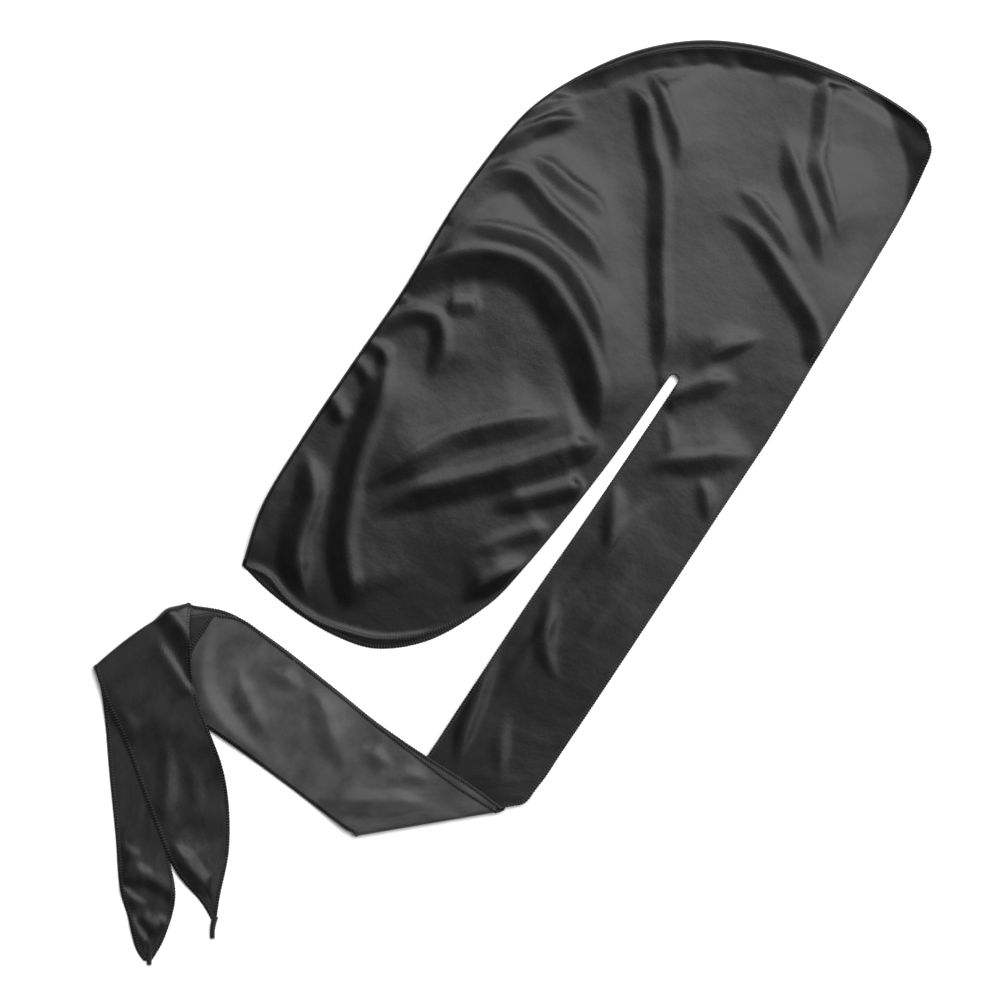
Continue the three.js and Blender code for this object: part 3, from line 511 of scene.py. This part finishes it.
def panelGrids(seamEdge, hairline, hemLine, height):
    # The crown half above the slit's level and the flap below it, which share the points along that level
    shoulder = seamEdge.shareWhere(xAxis, panel["shoulder"], 0, panel["shoulderBefore"])
    waist = seamEdge.shareWhere(yAxis, slit["level"], panel["waistAfter"], 1)
    hemTurn = hemLine.shareWhere(xAxis, panel["hemTurn"])
    back, front = seamEdge.along(waist)[0], hairline.along(0.0)[0]
    slitLeft, slitRight = slit["centre"] - slit["radius"], slit["centre"] + slit["radius"]
    flapColumns = round((slitLeft - back) / cloth["cell"])
    rootColumns = round((front - slitRight) / cloth["cell"])
    turn = np.pi * (1 - np.arange(1, slit["columns"]) / slit["columns"])
    level = np.full(flapColumns + slit["columns"] + rootColumns + 1, slit["level"])
    levelX = np.concatenate([
        np.linspace(back, slitLeft, flapColumns + 1), slit["centre"] + slit["radius"] * np.cos(turn),
        np.linspace(slitRight, front, rootColumns + 1),
    ])
    level[flapColumns + 1:flapColumns + slit["columns"]] += slit["radius"] * np.sin(turn)
    levelLine = np.stack([levelX, level], axis=1)

    flapRows = np.linspace(0, 1, round(panel["depth"] / cloth["cell"]) + 1)
    crownRows = 1 - (1 - flapRows) ** panel["crownEase"]
    u = np.linspace(0, 1, len(levelLine))
    crown = coonsPatch(levelLine, seamEdge.along(lerp(shoulder, 0, u)),
                       seamEdge.along(lerp(waist, shoulder, crownRows)), hairline.along(crownRows), crownRows)
    u = np.linspace(0, 1, flapColumns + 1)
    flap = coonsPatch(hemLine.along(lerp(1, hemTurn, u)), levelLine[:flapColumns + 1],
                      seamEdge.along(lerp(1, waist, flapRows)),
                      hemLine.along(lerp(hemTurn, 0, flapRows)), flapRows)
    grids = {}
    for name, grid in (("crown", crown), ("flap", flap)):
        z = height(grid[..., 0], grid[..., 1])
        grids[name] = np.dstack([grid, z])
        grids[name + "Place"] = grid
    grids["columns"] = (flapColumns, slit["columns"], rootColumns)
    return grids


def legGrid(rows, columns, height):
    # One leg of a tie, between its two edges and through its middle
    table = np.array([(*row, 0, 0)[:6] for row in rows], float)
    left, right = Line(table[:, 0:2]), Line(table[:, 2:4])
    middle = Line((table[:, 0:2] + table[:, 2:4]) / 2 + table[:, 4:6])
    reach = np.maximum(np.linalg.norm(np.diff(table[:, 0:2], axis=0), axis=1),
                       np.linalg.norm(np.diff(table[:, 2:4], axis=0), axis=1))
    steps = np.maximum(2, np.ceil(reach / cloth["cell"]).astype(int))
    counts = np.concatenate([*(k + np.arange(n) / n for k, n in enumerate(steps)), [len(table) - 1]])
    a, b, c = (line.at(counts)[:, None] for line in (left, middle, right))
    t = np.linspace(0, 1, columns + 1)[None, :, None]
    flat = a * (2 * t - 1) * (t - 1) + b * 4 * t * (1 - t) + c * t * (2 * t - 1)
    return np.dstack([flat, height(flat[..., 0], flat[..., 1])])


def foldedEdge(before, after, turn):
    # The rows round a fold, from one leg's last row up to the next one's first
    along = before[-1] - before[0]
    along[2] = 0
    along /= np.linalg.norm(along)
    outward = np.array([-along[1], along[0], 0]) * turn
    rows = []
    for part in np.arange(1, cloth["rollSteps"]) / cloth["rollSteps"]:
        radius = (after[:, 2] - before[:, 2]) / 2
        row = lerp(before, after, part)
        row[:, 2] = before[:, 2] + radius * (1 - math.cos(math.pi * part))
        rows.append(row + outward * (radius * math.sin(math.pi * part))[:, None])
    return np.array(rows)


def tieGrid(legs, columns, height):
    # A whole tie, and for each of its rows the leg that it belongs to
    first, second, third = (
        legGrid(rows, columns, lambda x, y, k=k: height(k, x, y)) for k, rows in enumerate(legs)
    )
    underFold = foldedEdge(first[-1].copy(), second[0], -1)
    overFold = foldedEdge(second[-1].copy(), third[0], 1)
    tie = np.concatenate([first, underFold, second, overFold, third])
    half = len(underFold) // 2
    secondEnd = len(first) + len(underFold) + len(second) + half
    numbers = np.full(len(tie), 3.0)
    numbers[:secondEnd] = 2
    numbers[:len(first) + half] = 1
    return tie, numbers


def runAlong(points):
    return np.concatenate([[0], np.cumsum(np.linalg.norm(np.diff(points, axis=0), axis=1))])


# Meshes

def addGrid(bm, points, place, leg):
    # Lays a grid on rows of points, and keeps each vertex's place on the uncut cloth and its leg
    rows, columns = points.shape[:2]
    made = bmesh.ops.create_grid(bm, x_segments=columns - 1, y_segments=rows - 1, size=1)["verts"]
    places = bm.verts.layers.float_vector["clothPlace"]
    legs = bm.verts.layers.float["leg"]
    for vert in made:
        i = round((vert.co.x + 1) / 2 * (columns - 1))
        j = round((vert.co.y + 1) / 2 * (rows - 1))
        vert.co = points[j, i]
        vert[places] = (place[j, i, 0] * mm, place[j, i, 1] * mm, 0)
        vert[legs] = leg[j]


def inScene(name, data):
    made = bpy.data.objects.new(name, data)
    bpy.context.scene.collection.objects.link(made)
    return made


def toPiece(bm, name, finish):
    # From the pattern's millimetres to the part's metres
    for vert in bm.verts:
        vert.co = Vector((np.array(vert.co) + origin) * mm)
        vert.co.z = max(vert.co.z, cloth["rest"] * mm)
    for face in bm.faces:
        face.smooth = True
    mesh = bpy.data.meshes.new(name)
    bm.to_mesh(mesh)
    bm.free()
    piece = inScene(name, mesh)
    mesh.materials.append(finish)
    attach(piece, "root")
    return piece


def unit(vectors):
    return vectors / np.maximum(np.linalg.norm(vectors, axis=-1, keepdims=True), 1e-9)


def sweptMesh(rings):
    # A closed tube through rings of points, each ring as long as the others
    count, sides = rings.shape[:2]
    bm = bmesh.new()
    made = bmesh.ops.create_grid(bm, x_segments=sides, y_segments=count - 1, size=1)["verts"]
    for vert in made:
        i = round((vert.co.x + 1) / 2 * sides) % sides
        j = round((vert.co.y + 1) / 2 * (count - 1))
        vert.co = rings[j, i]
    bmesh.ops.remove_doubles(bm, verts=bm.verts, dist=cloth["tubeJoin"])
    bmesh.ops.holes_fill(bm, edges=[edge for edge in bm.edges if edge.is_boundary], sides=sides)
    bmesh.ops.recalc_face_normals(bm, faces=bm.faces)
    return bm


# Finishes

class Value:
    # A material's socket, with the sums that the finishes use
    def __init__(self, finish, socket):
        self.finish, self.socket = finish, socket

    def sum(self, operation, left, right):
        return self.finish.node("ShaderNodeMath", {"operation": operation}, {0: left, 1: right})

    def __add__(self, other):
        return self.sum("ADD", self, other)

    def __radd__(self, other):
        return self.sum("ADD", other, self)

    def __sub__(self, other):
        return self.sum("SUBTRACT", self, other)

    def __rsub__(self, other):
        return self.sum("SUBTRACT", other, self)

    def __mul__(self, other):
        return self.sum("MULTIPLY", self, other)

    def __rmul__(self, other):
        return self.sum("MULTIPLY", other, self)


class Finish:
    # A material and its nodes
    def __init__(self, name):
        self.material = bpy.data.materials.new(name)
        self.material.use_nodes = True
        self.tree = self.material.node_tree
        self.shader = self.tree.nodes["Principled BSDF"]

    def node(self, kind, settings, inputs, output=0):
        made = self.tree.nodes.new(kind)
        for key, value in settings.items():
            setattr(made, key, value)
        for key, value in inputs.items():
            self.put(made.inputs[key], value)
        return Value(self, made.outputs[output])

    def grain(self, place, scale, detail):
        return self.node("ShaderNodeTexNoise", {}, {"Vector": place, "Scale": scale, "Detail": detail})

    def mixed(self, share, low, high):
        # The factor, the two colours and the colour that a Mix node gives
        settings = {"data_type": "RGBA", "clamp_factor": True}
        return self.node("ShaderNodeMix", settings, {0: share, 6: low, 7: high}, 2)

    def bump(self, height, distance, strength=1, over=None):
        inputs = {"Height": height, "Strength": strength, "Distance": distance}
        if over is not None:
            inputs["Normal"] = over
        return self.node("ShaderNodeBump", {}, inputs)

    def put(self, socket, value):
        if isinstance(value, Value):
            self.tree.links.new(value.socket, socket)
        else:
            socket.default_value = value

    def set(self, **inputs):
        for key, value in inputs.items():
            self.put(self.shader.inputs[key.replace("_", " ")], value)


satin = {
    "deep": (0.0022, 0.0022, 0.0024, 1), "pale": (0.056, 0.056, 0.057, 1),
    "roughness": 0.37, "reverseRoughness": 0.12, "mottleRoughness": 0.1, "gloss": 0.2, "refraction": 1.5,
    "mottle": 55, "mottleByTone": 1.7, "mottleLeast": 0.1,
    "weaveAcross": 2600, "weaveAlong": 520, "weaveByTone": 0.4, "weaveLeast": 0.14,
    "weaveHeight": 0.00004, "weaveStrength": 0.8,
    "crinkle": 330, "crinkleHeight": 0.0001, "slack": 62, "slackHeight": 0.0005,
}


def satinFinish():
    # The painted sheen lightens the base colour, and the weave and the mottle vary it around its own level,
    # more where it is pale
    finish = Finish("black satin")
    place = finish.node("ShaderNodeAttribute", {"attribute_name": "clothPlace"}, {}, "Vector")
    paintedSheen = finish.node("ShaderNodeAttribute", {"attribute_name": "paintedSheen"}, {}, "Fac")
    threads = finish.node("ShaderNodeVectorMath", {"operation": "MULTIPLY"},
                          {0: place, 1: (satin["weaveAcross"], satin["weaveAlong"], 1)})
    weave = finish.grain(threads, 1, 1)
    mottle = finish.grain(place, satin["mottle"], 3)
    shade = paintedSheen + (mottle - 0.5) * (paintedSheen * satin["mottleByTone"] + satin["mottleLeast"])
    shade = shade + (weave - 0.5) * (paintedSheen * satin["weaveByTone"] + satin["weaveLeast"])
    bump = finish.bump(finish.grain(place, satin["slack"], 1), satin["slackHeight"])
    bump = finish.bump(finish.grain(place, satin["crinkle"], 2), satin["crinkleHeight"], over=bump)
    bump = finish.bump(weave, satin["weaveHeight"], satin["weaveStrength"], bump)
    roughness = (mottle - 0.5) * satin["mottleRoughness"] + paintedSheen * satin["reverseRoughness"]
    roughness = roughness + satin["roughness"]
    colour = finish.mixed(shade, satin["deep"], satin["pale"])
    finish.set(Base_Color=colour, Roughness=roughness, Normal=bump)
    finish.set(IOR=satin["refraction"], Specular_IOR_Level=satin["gloss"])
    return finish.material


thread = {
    "dark": (0.004, 0.004, 0.0042, 1), "light": (0.03, 0.03, 0.031, 1), "tail": (0.008, 0.008, 0.0083, 1),
    "twist": 1500, "twistHeight": 0.00006, "twistStrength": 0.5, "twistRoughness": 0.2,
    "roughness": 0.5, "gloss": 0.4, "refraction": 1.5,
}


def threadFinish(name, light):
    finish = Finish(name)
    place = finish.node("ShaderNodeTexCoord", {}, {}, "Object")
    twist = finish.grain(place, thread["twist"], 1)
    bump = finish.bump(twist, thread["twistHeight"], thread["twistStrength"])
    roughness = (twist - 0.5) * thread["twistRoughness"] + thread["roughness"]
    finish.set(Base_Color=finish.mixed(twist, thread["dark"], light), Roughness=roughness, Normal=bump)
    finish.set(IOR=thread["refraction"], Specular_IOR_Level=thread["gloss"])
    return finish.material


satinMaterial = satinFinish()
threadMaterial = threadFinish("black overlock thread", thread["light"])
tailMaterial = threadFinish("black loose thread", thread["tail"])
print("finishes: done")


# The two sides

# How much painted sheen each part gets in its base colour; the crown's share rises towards the forehead as
# painted light
paintedSheenLevels = {"secondLeg": 0.6, "thirdLeg": 0.14, "crown": 0.05, "crownFrom": -120, "crownReach": 220}


def paintedSheenAt(y, leg):
    # Painted sheen in the base colour. On the ties' second leg, where the cloth's other face shows, it is
    # partly that face's own paler look and partly painted sheen. On the third leg it is a little painted
    # sheen, and over the crown it is painted light that grows towards the forehead.
    crown = paintedSheenLevels["crown"] * smoothstep((y - paintedSheenLevels["crownFrom"]) / paintedSheenLevels["crownReach"])
    return np.where(leg == 2, paintedSheenLevels["secondLeg"], np.where(leg == 3, paintedSheenLevels["thirdLeg"], crown))


def sideCloth(name, grids, tie, rollRows=None):
    # Crown half, flap and tie as one cloth
    bm = bmesh.new()
    bm.verts.layers.float_vector.new("clothPlace")
    bm.verts.layers.float.new("leg")
    for key in ("crown", "flap"):
        addGrid(bm, grids[key], grids[key + "Place"], np.zeros(len(grids[key])))
    run = slit["level"] - runAlong(tie[:, tie.shape[1] // 2])
    across = np.linspace(slit["centre"] + slit["radius"], hairlinePoints[0][0], tie.shape[1])
    place = np.dstack(np.meshgrid(across, run))
    addGrid(bm, tie[::-1], place[::-1], grids["legs"][::-1])
    if rollRows is not None:
        addGrid(bm, rollRows, rollRows[..., :2], np.zeros(len(rollRows)))
    bmesh.ops.remove_doubles(bm, verts=bm.verts, dist=cloth["join"])
    # Painted sheen and painted light stored per vertex, which lightens the satin's base colour
    paintedSheenLayer = bm.verts.layers.float.new("paintedSheen")
    legs = bm.verts.layers.float["leg"]
    for vert in bm.verts:
        vert[paintedSheenLayer] = float(paintedSheenAt(vert.co.y, round(vert[legs])))
    piece = toPiece(bm, name, satinMaterial)
    wall = piece.modifiers.new("wall", "SOLIDIFY")
    wall.thickness = cloth["thickness"] * mm
    wall.offset = 0
    return piece


hem = {
    "width": 2.6, "widest": 0.45,  # and its share of the cloth's width at the ties' points
    "half": 0.2, "over": 0.1, "flatness": 0.6, "sides": 12, "step": 2.2,
    "ample": 99.0, "closest": 0.05,  # room for a hem on crown and flap, and the least step along an edge
}
overlock = {
    "pitch": 2.0, "slant": 0.35, "start": 0.5, "radius": 0.27, "half": 0.3, "flatness": 0.6,
    "past": 0.25, "over": 0.2,  # how far a stitch reaches past the hem and over the edge
    "turnPoints": 9, "sides": 5,
}


def freeEdge(grids, tie):
    # The free edge from the forehead along the hairline, round the tie, up the slit and round the flap: its
    # places, the places just inside it, and how wide a hem fits there
    flapColumns, slitColumns, _ = grids["columns"]
    crown, flap = grids["crown"], grids["flap"]
    arc = slice(flapColumns + slitColumns, flapColumns - 1, -1)
    tieWidth = np.linalg.norm(tie[:, -1] - tie[:, 0], axis=1)
    parts = [
        (crown[::-1, -1], crown[::-1, -2], np.full(len(crown), hem["ample"])),
        (tie[:, -1], tie[:, -2], tieWidth),
        (tie[::-1, 0], tie[::-1, 1], tieWidth[::-1]),
        (crown[0, arc], crown[1, arc], np.full(slitColumns + 1, hem["ample"])),
        (flap[::-1, -1], flap[::-1, -2], np.full(len(flap), hem["ample"])),
        (flap[0, ::-1], flap[1, ::-1], np.full(flap.shape[1], hem["ample"])),
    ]
    edge, inner, width = (np.concatenate([part[k] for part in parts]) for k in range(3))
    keep = np.concatenate([[True], np.linalg.norm(np.diff(edge, axis=0), axis=1) > hem["closest"]])
    return edge[keep], inner[keep], width[keep]


class Rail:
    # A line in space with a direction into the cloth and one off its face, read by the length along it
    def __init__(self, edge, inner, width):
        self.run = runAlong(edge)
        self.length = self.run[-1]
        self.edge, self.width = edge, width
        self.inward = unit(inner - edge)

    def read(self, at):
        place, inward, ahead = (
            np.stack([np.interp(at, self.run, field[:, k]) for k in range(3)], axis=-1)
            for field in (self.edge, self.inward, unit(np.gradient(self.edge, axis=0)))
        )
        ahead = unit(ahead)
        inward = unit(inward - ahead * np.sum(inward * ahead, axis=-1, keepdims=True))
        return place, inward, ahead, np.cross(ahead, inward), np.interp(at, self.run, self.width)


def hemWidth(room):
    return np.minimum(hem["width"], hem["widest"] * room)[:, None]


def around(sides):
    # One turn round a cord, for all of its rings
    return np.linspace(0, 2 * np.pi, sides, endpoint=False)[None, :, None]


def hemPiece(name, rail):
    at = np.linspace(0, rail.length, round(rail.length / hem["step"]) + 1)
    place, inward, _, off, room = rail.read(at)
    turn = around(hem["sides"])
    across = (1 - np.cos(turn)) / 2 * hemWidth(room)[:, None] - hem["over"]
    up = np.sign(np.sin(turn)) * np.abs(np.sin(turn)) ** hem["flatness"] * hem["half"]
    rings = place[:, None] + inward[:, None] * across + off[:, None] * up
    return toPiece(sweptMesh(rings), name, satinMaterial)


def overlockPiece(name, rail):
    turns = int((rail.length - 2 * overlock["start"]) / overlock["pitch"])
    angle = np.linspace(0, 2 * np.pi * turns, turns * overlock["turnPoints"] + 1)
    at = overlock["start"] + angle / (2 * np.pi) * overlock["pitch"] + overlock["slant"] * np.sin(angle * 2)
    place, inward, _, off, room = rail.read(at)
    across = ((1 - np.cos(angle)) / 2)[:, None] * (hemWidth(room) + overlock["past"]) - overlock["over"]
    up = (np.sin(angle) * overlock["half"])[:, None]
    outward = unit(-inward * np.cos(angle)[:, None] * overlock["flatness"] + off * np.sin(angle)[:, None])
    centre = place + inward * across + off * up
    return toPiece(tube(centre, outward, overlock["radius"], overlock["sides"]), name, threadMaterial)


def tube(centre, outward, radius, sides):
    # A round cord along a line of points
    ahead = unit(np.gradient(centre, axis=0))
    outward = unit(outward - ahead * np.sum(outward * ahead, axis=-1, keepdims=True))
    beside = np.cross(ahead, outward)
    turn = around(sides)
    offset = outward[:, None] * np.cos(turn) + beside[:, None] * np.sin(turn)
    return sweptMesh(centre[:, None] + radius * offset)


def buildSide(inset, hemPoints, panelHeight, tieLegs, legHeight):
    seamEdge = movedIn(seamLine, inset)
    hairline = edgeTo(hairlinePoints, seamEdge.along(0.0))
    hemLine = edgeTo(hemPoints, seamEdge.along(1.0))
    grids = panelGrids(seamEdge, hairline, hemLine, panelHeight)
    tie, grids["legs"] = tieGrid(tieLegs, grids["columns"][2], legHeight)
    return grids, tie


def buildNear():
    def inset(share):
        return fromTable(seamProfile, insetColumn, share) + seam["width"] / 2
    return buildSide(inset, upperHemPoints, upperHeight, nearTieLegs, nearLegHeight)


def buildFar():
    def inset(share):
        return np.full(np.shape(share), seam["turn"])
    grids, tie = buildSide(inset, lowerHemPoints, lowerHeight, farTieLegs, farLegHeight)
    edge = np.concatenate([grids["crown"][-1, ::-1], grids["crown"][-2::-1, 0], grids["flap"][-2::-1, 0]])
    return grids, tie, rollOver(edge)


# The rolled margin from its turn to the seam: shares of the way out and of the way up
rollSection = [
    (0.99, 0.14), (0.96, 0.32), (0.91, 0.48), (0.84, 0.62), (0.74, 0.73), (0.60, 0.82), (0.44, 0.89),
    (0.26, 0.95), (0.12, 0.98), (0, 1),
]


def rollOver(edge):
    # The lower side's margin, rolled up over its edge and back to the seam
    ahead = unit(np.gradient(edge, axis=0) * [1, 1, 0])
    outward = np.stack([ahead[:, 1], -ahead[:, 0], np.zeros(len(edge))], axis=1)
    share = seamLine.nearest(edge[:, 0], edge[:, 1], seam["samples"])[1]
    reach = (fromTable(seamProfile, insetColumn, share) + seam["width"] / 2)[:, None] - seam["turn"]
    height = (seamLift(edge[:, 0], edge[:, 1], share) + layer - onFloor + seam["cover"])[:, None]
    up = np.array([[0, 0, 1.0]])
    rows = [edge]
    for part in np.arange(1, seam["turnSteps"] + 1) / seam["turnSteps"]:
        angle = math.pi / 2 * part
        rows.append(edge + seam["turn"] * (outward * math.sin(angle) + up * (1 - math.cos(angle))))
    for outShare, upShare in rollSection:
        out = lerp(-reach, seam["turn"], outShare)
        rows.append(edge + outward * out + up * lerp(seam["turn"], height, upShare))
    return np.array(rows)


nearGrids, nearTie = buildNear()
nearSide = sideCloth("near_side", nearGrids, nearTie)
print("near side:", len(nearSide.data.polygons), "faces")
farGrids, farTie, farRoll = buildFar()
farSide = sideCloth("far_side", farGrids, farTie, farRoll)
print("far side:", len(farSide.data.polygons), "faces")

nearRail = Rail(*freeEdge(nearGrids, nearTie))
farRail = Rail(*freeEdge(farGrids, farTie))
nearHem, farHem = hemPiece("near_hem", nearRail), hemPiece("far_hem", farRail)
nearStitches = overlockPiece("near_overlock", nearRail)
farStitches = overlockPiece("far_overlock", farRail)
print("hems:", round(nearRail.length), "and", round(farRail.length), "mm")


# The crown seam

ridge = {
    "from": 0.004, "to": 0.996, "step": 2.0, "sides": 12, "lift": 0.3,
    "half": 1.2, "slimHalf": 0.55, "slimFrom": 0.105, "slimReach": 0.03, "thickness": 0.6,
    "pitch": 1.7, "threadRadius": 0.24, "underThread": 0.1,
}


def seamRail():
    # The ridge's middle, with half of its width: it is broad only behind the forehead
    share = np.linspace(ridge["from"], ridge["to"], round(seamLine.length / ridge["step"]))
    point, ahead = seamLine.along(share), seamLine.ahead(share)
    inset = fromTable(seamProfile, insetColumn, share)
    slim = smoothstep((share - ridge["slimFrom"]) / ridge["slimReach"])
    half = lerp(ridge["half"], ridge["slimHalf"], slim)
    base = layer + seamLift(point[:, 0], point[:, 1], share)
    side = np.stack([-ahead[:, 1], ahead[:, 0]], axis=1)
    middle = point + side * (inset + seam["width"] / 2)[:, None]
    centre = np.column_stack([middle, base + ridge["lift"] + ridge["thickness"]])
    return Rail(centre, centre + np.column_stack([side, np.zeros(len(side))]), half)


def seamPieces():
    rail = seamRail()
    at = np.linspace(0, rail.length, round(rail.length / ridge["step"]))
    place, inward, _, off, half = rail.read(at)
    turn = around(ridge["sides"])
    across = np.cos(turn) * (half[:, None, None] - ridge["underThread"])
    up = np.sin(turn) * (ridge["thickness"] - ridge["underThread"])
    rings = place[:, None] + inward[:, None] * across + off[:, None] * up
    body = toPiece(sweptMesh(rings), "crown_seam_ridge", satinMaterial)
    turns = int(rail.length / ridge["pitch"])
    angle = np.linspace(0, 2 * np.pi * turns, turns * overlock["turnPoints"] + 1)
    place, inward, _, off, half = rail.read(angle / (2 * np.pi) * ridge["pitch"])
    cosine, sine = np.cos(angle)[:, None], np.sin(angle)[:, None]
    centre = place + inward * cosine * half[:, None] + off * sine * ridge["thickness"]
    cord = tube(centre, inward * cosine + off * sine, ridge["threadRadius"], overlock["sides"])
    return body, toPiece(cord, "crown_seam_overlock", threadMaterial)


seamBody, seamThread = seamPieces()
print("crown seam: done")


# The loose thread ends

tails = {
    "near_tail": {"line": [(-135.5, -480), (-132.6, -487.5), (-129, -493.2)],
                  "width": 3.2, "radius": 0.7, "loops": 2.5},
    "far_tail": {"line": [(-159.5, -524.5), (-157, -528.6), (-155, -531.8)],
                 "width": 3.0, "radius": 0.75, "loops": 1.2},
}
strand = {"count": 3, "steps": 24, "sides": 6, "lift": 1.15, "swing": 0.3, "narrowing": 0.35}


def tailPiece(name, spec):
    # A few strands that wind round each other and draw together towards their end
    line = Line(spec["line"])
    share = np.linspace(0, 1, strand["steps"] + 1)
    point, ahead = line.along(share), line.ahead(share)
    side = np.column_stack([ahead[:, 1], -ahead[:, 0], np.zeros(len(share))])
    whole = bmesh.new()
    for k in range(strand["count"]):
        phase = 2 * np.pi * (k / strand["count"] + share * spec["loops"])
        sway = (np.sin(phase) * spec["width"] / 2 * (1 - strand["narrowing"] * share))[:, None]
        centre = np.column_stack([point, strand["lift"] + np.cos(phase) * strand["swing"]]) + side * sway
        cord = tube(centre, np.tile([0, 0, 1.0], (len(share), 1)), spec["radius"], strand["sides"])
        part = bpy.data.meshes.new("strand")
        cord.to_mesh(part)
        cord.free()
        whole.from_mesh(part)
        bpy.data.meshes.remove(part)
    return toPiece(whole, name, tailMaterial)


nearTail, farTail = (tailPiece(name, spec) for name, spec in tails.items())
print("thread ends: done")

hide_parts("near_panel", "near_tie")
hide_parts("far_panel", "far_tie")
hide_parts("crown_seam")
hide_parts("near_tip_thread")
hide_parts("far_tip_thread")


# Floor, camera and light

def toFrame(x, y, z):
    return Vector((np.array([x, y, z]) + origin) * mm)


studio = {
    "centre": (-130.1, -136.9), "span": 680, "distance": 2600, "turn": 33.45,
    "sensor": 36, "clip": (0.05, 20),
    "floor": (0.88, 0.88, 0.88, 1), "floorRoughness": 0.9, "floorHalf": 4, "floorDrop": 0.0002,
    "world": (1, 1, 1, 1), "worldStrength": 0.1,
}
panels = [
    ("key", (-200, 905, 1900), (3.0, 1.6), 75), ("core", (-200, 1100, 1890), (2.4, 0.7), 38),
    ("side", (900, 0, 1900), (0.6, 1.0), 10), ("low_fill", (-310, -700, 2600), (0.7, 0.6), 2.4),
]


def floorPiece():
    bm = bmesh.new()
    bmesh.ops.create_grid(bm, x_segments=1, y_segments=1, size=studio["floorHalf"])
    mesh = bpy.data.meshes.new("floor")
    bm.to_mesh(mesh)
    bm.free()
    floor = inScene("floor", mesh)
    floor.location.z = -studio["floorDrop"]
    finish = Finish("pale floor")
    finish.set(Base_Color=studio["floor"], Roughness=studio["floorRoughness"])
    mesh.materials.append(finish.material)


def cameraAbove():
    data = bpy.data.cameras.new("camera")
    data.sensor_width = studio["sensor"]
    data.lens = studio["sensor"] * studio["distance"] / studio["span"]
    data.clip_start, data.clip_end = studio["clip"]
    camera = inScene("camera", data)
    camera.location = toFrame(*studio["centre"], studio["distance"])
    camera.rotation_euler = (0, 0, math.radians(studio["turn"]))
    bpy.context.scene.camera = camera


def softLight(name, spot, size, energy):
    # A panel that faces straight down
    data = bpy.data.lights.new(name, "AREA")
    data.shape, data.size, data.size_y, data.energy = "RECTANGLE", *size, energy
    light = inScene(name, data)
    light.location = toFrame(*spot)
    light.visible_camera = False


floorPiece()
cameraAbove()
for panelLight in panels:
    softLight(*panelLight)
world = bpy.data.worlds.new("studio")
bpy.context.scene.world = world
world.use_nodes = True
background = world.node_tree.nodes["Background"].inputs
background["Color"].default_value = studio["world"]
background["Strength"].default_value = studio["worldStrength"]
bpy.context.scene.view_settings.view_transform = "Standard"
print("floor, camera and lights: done")
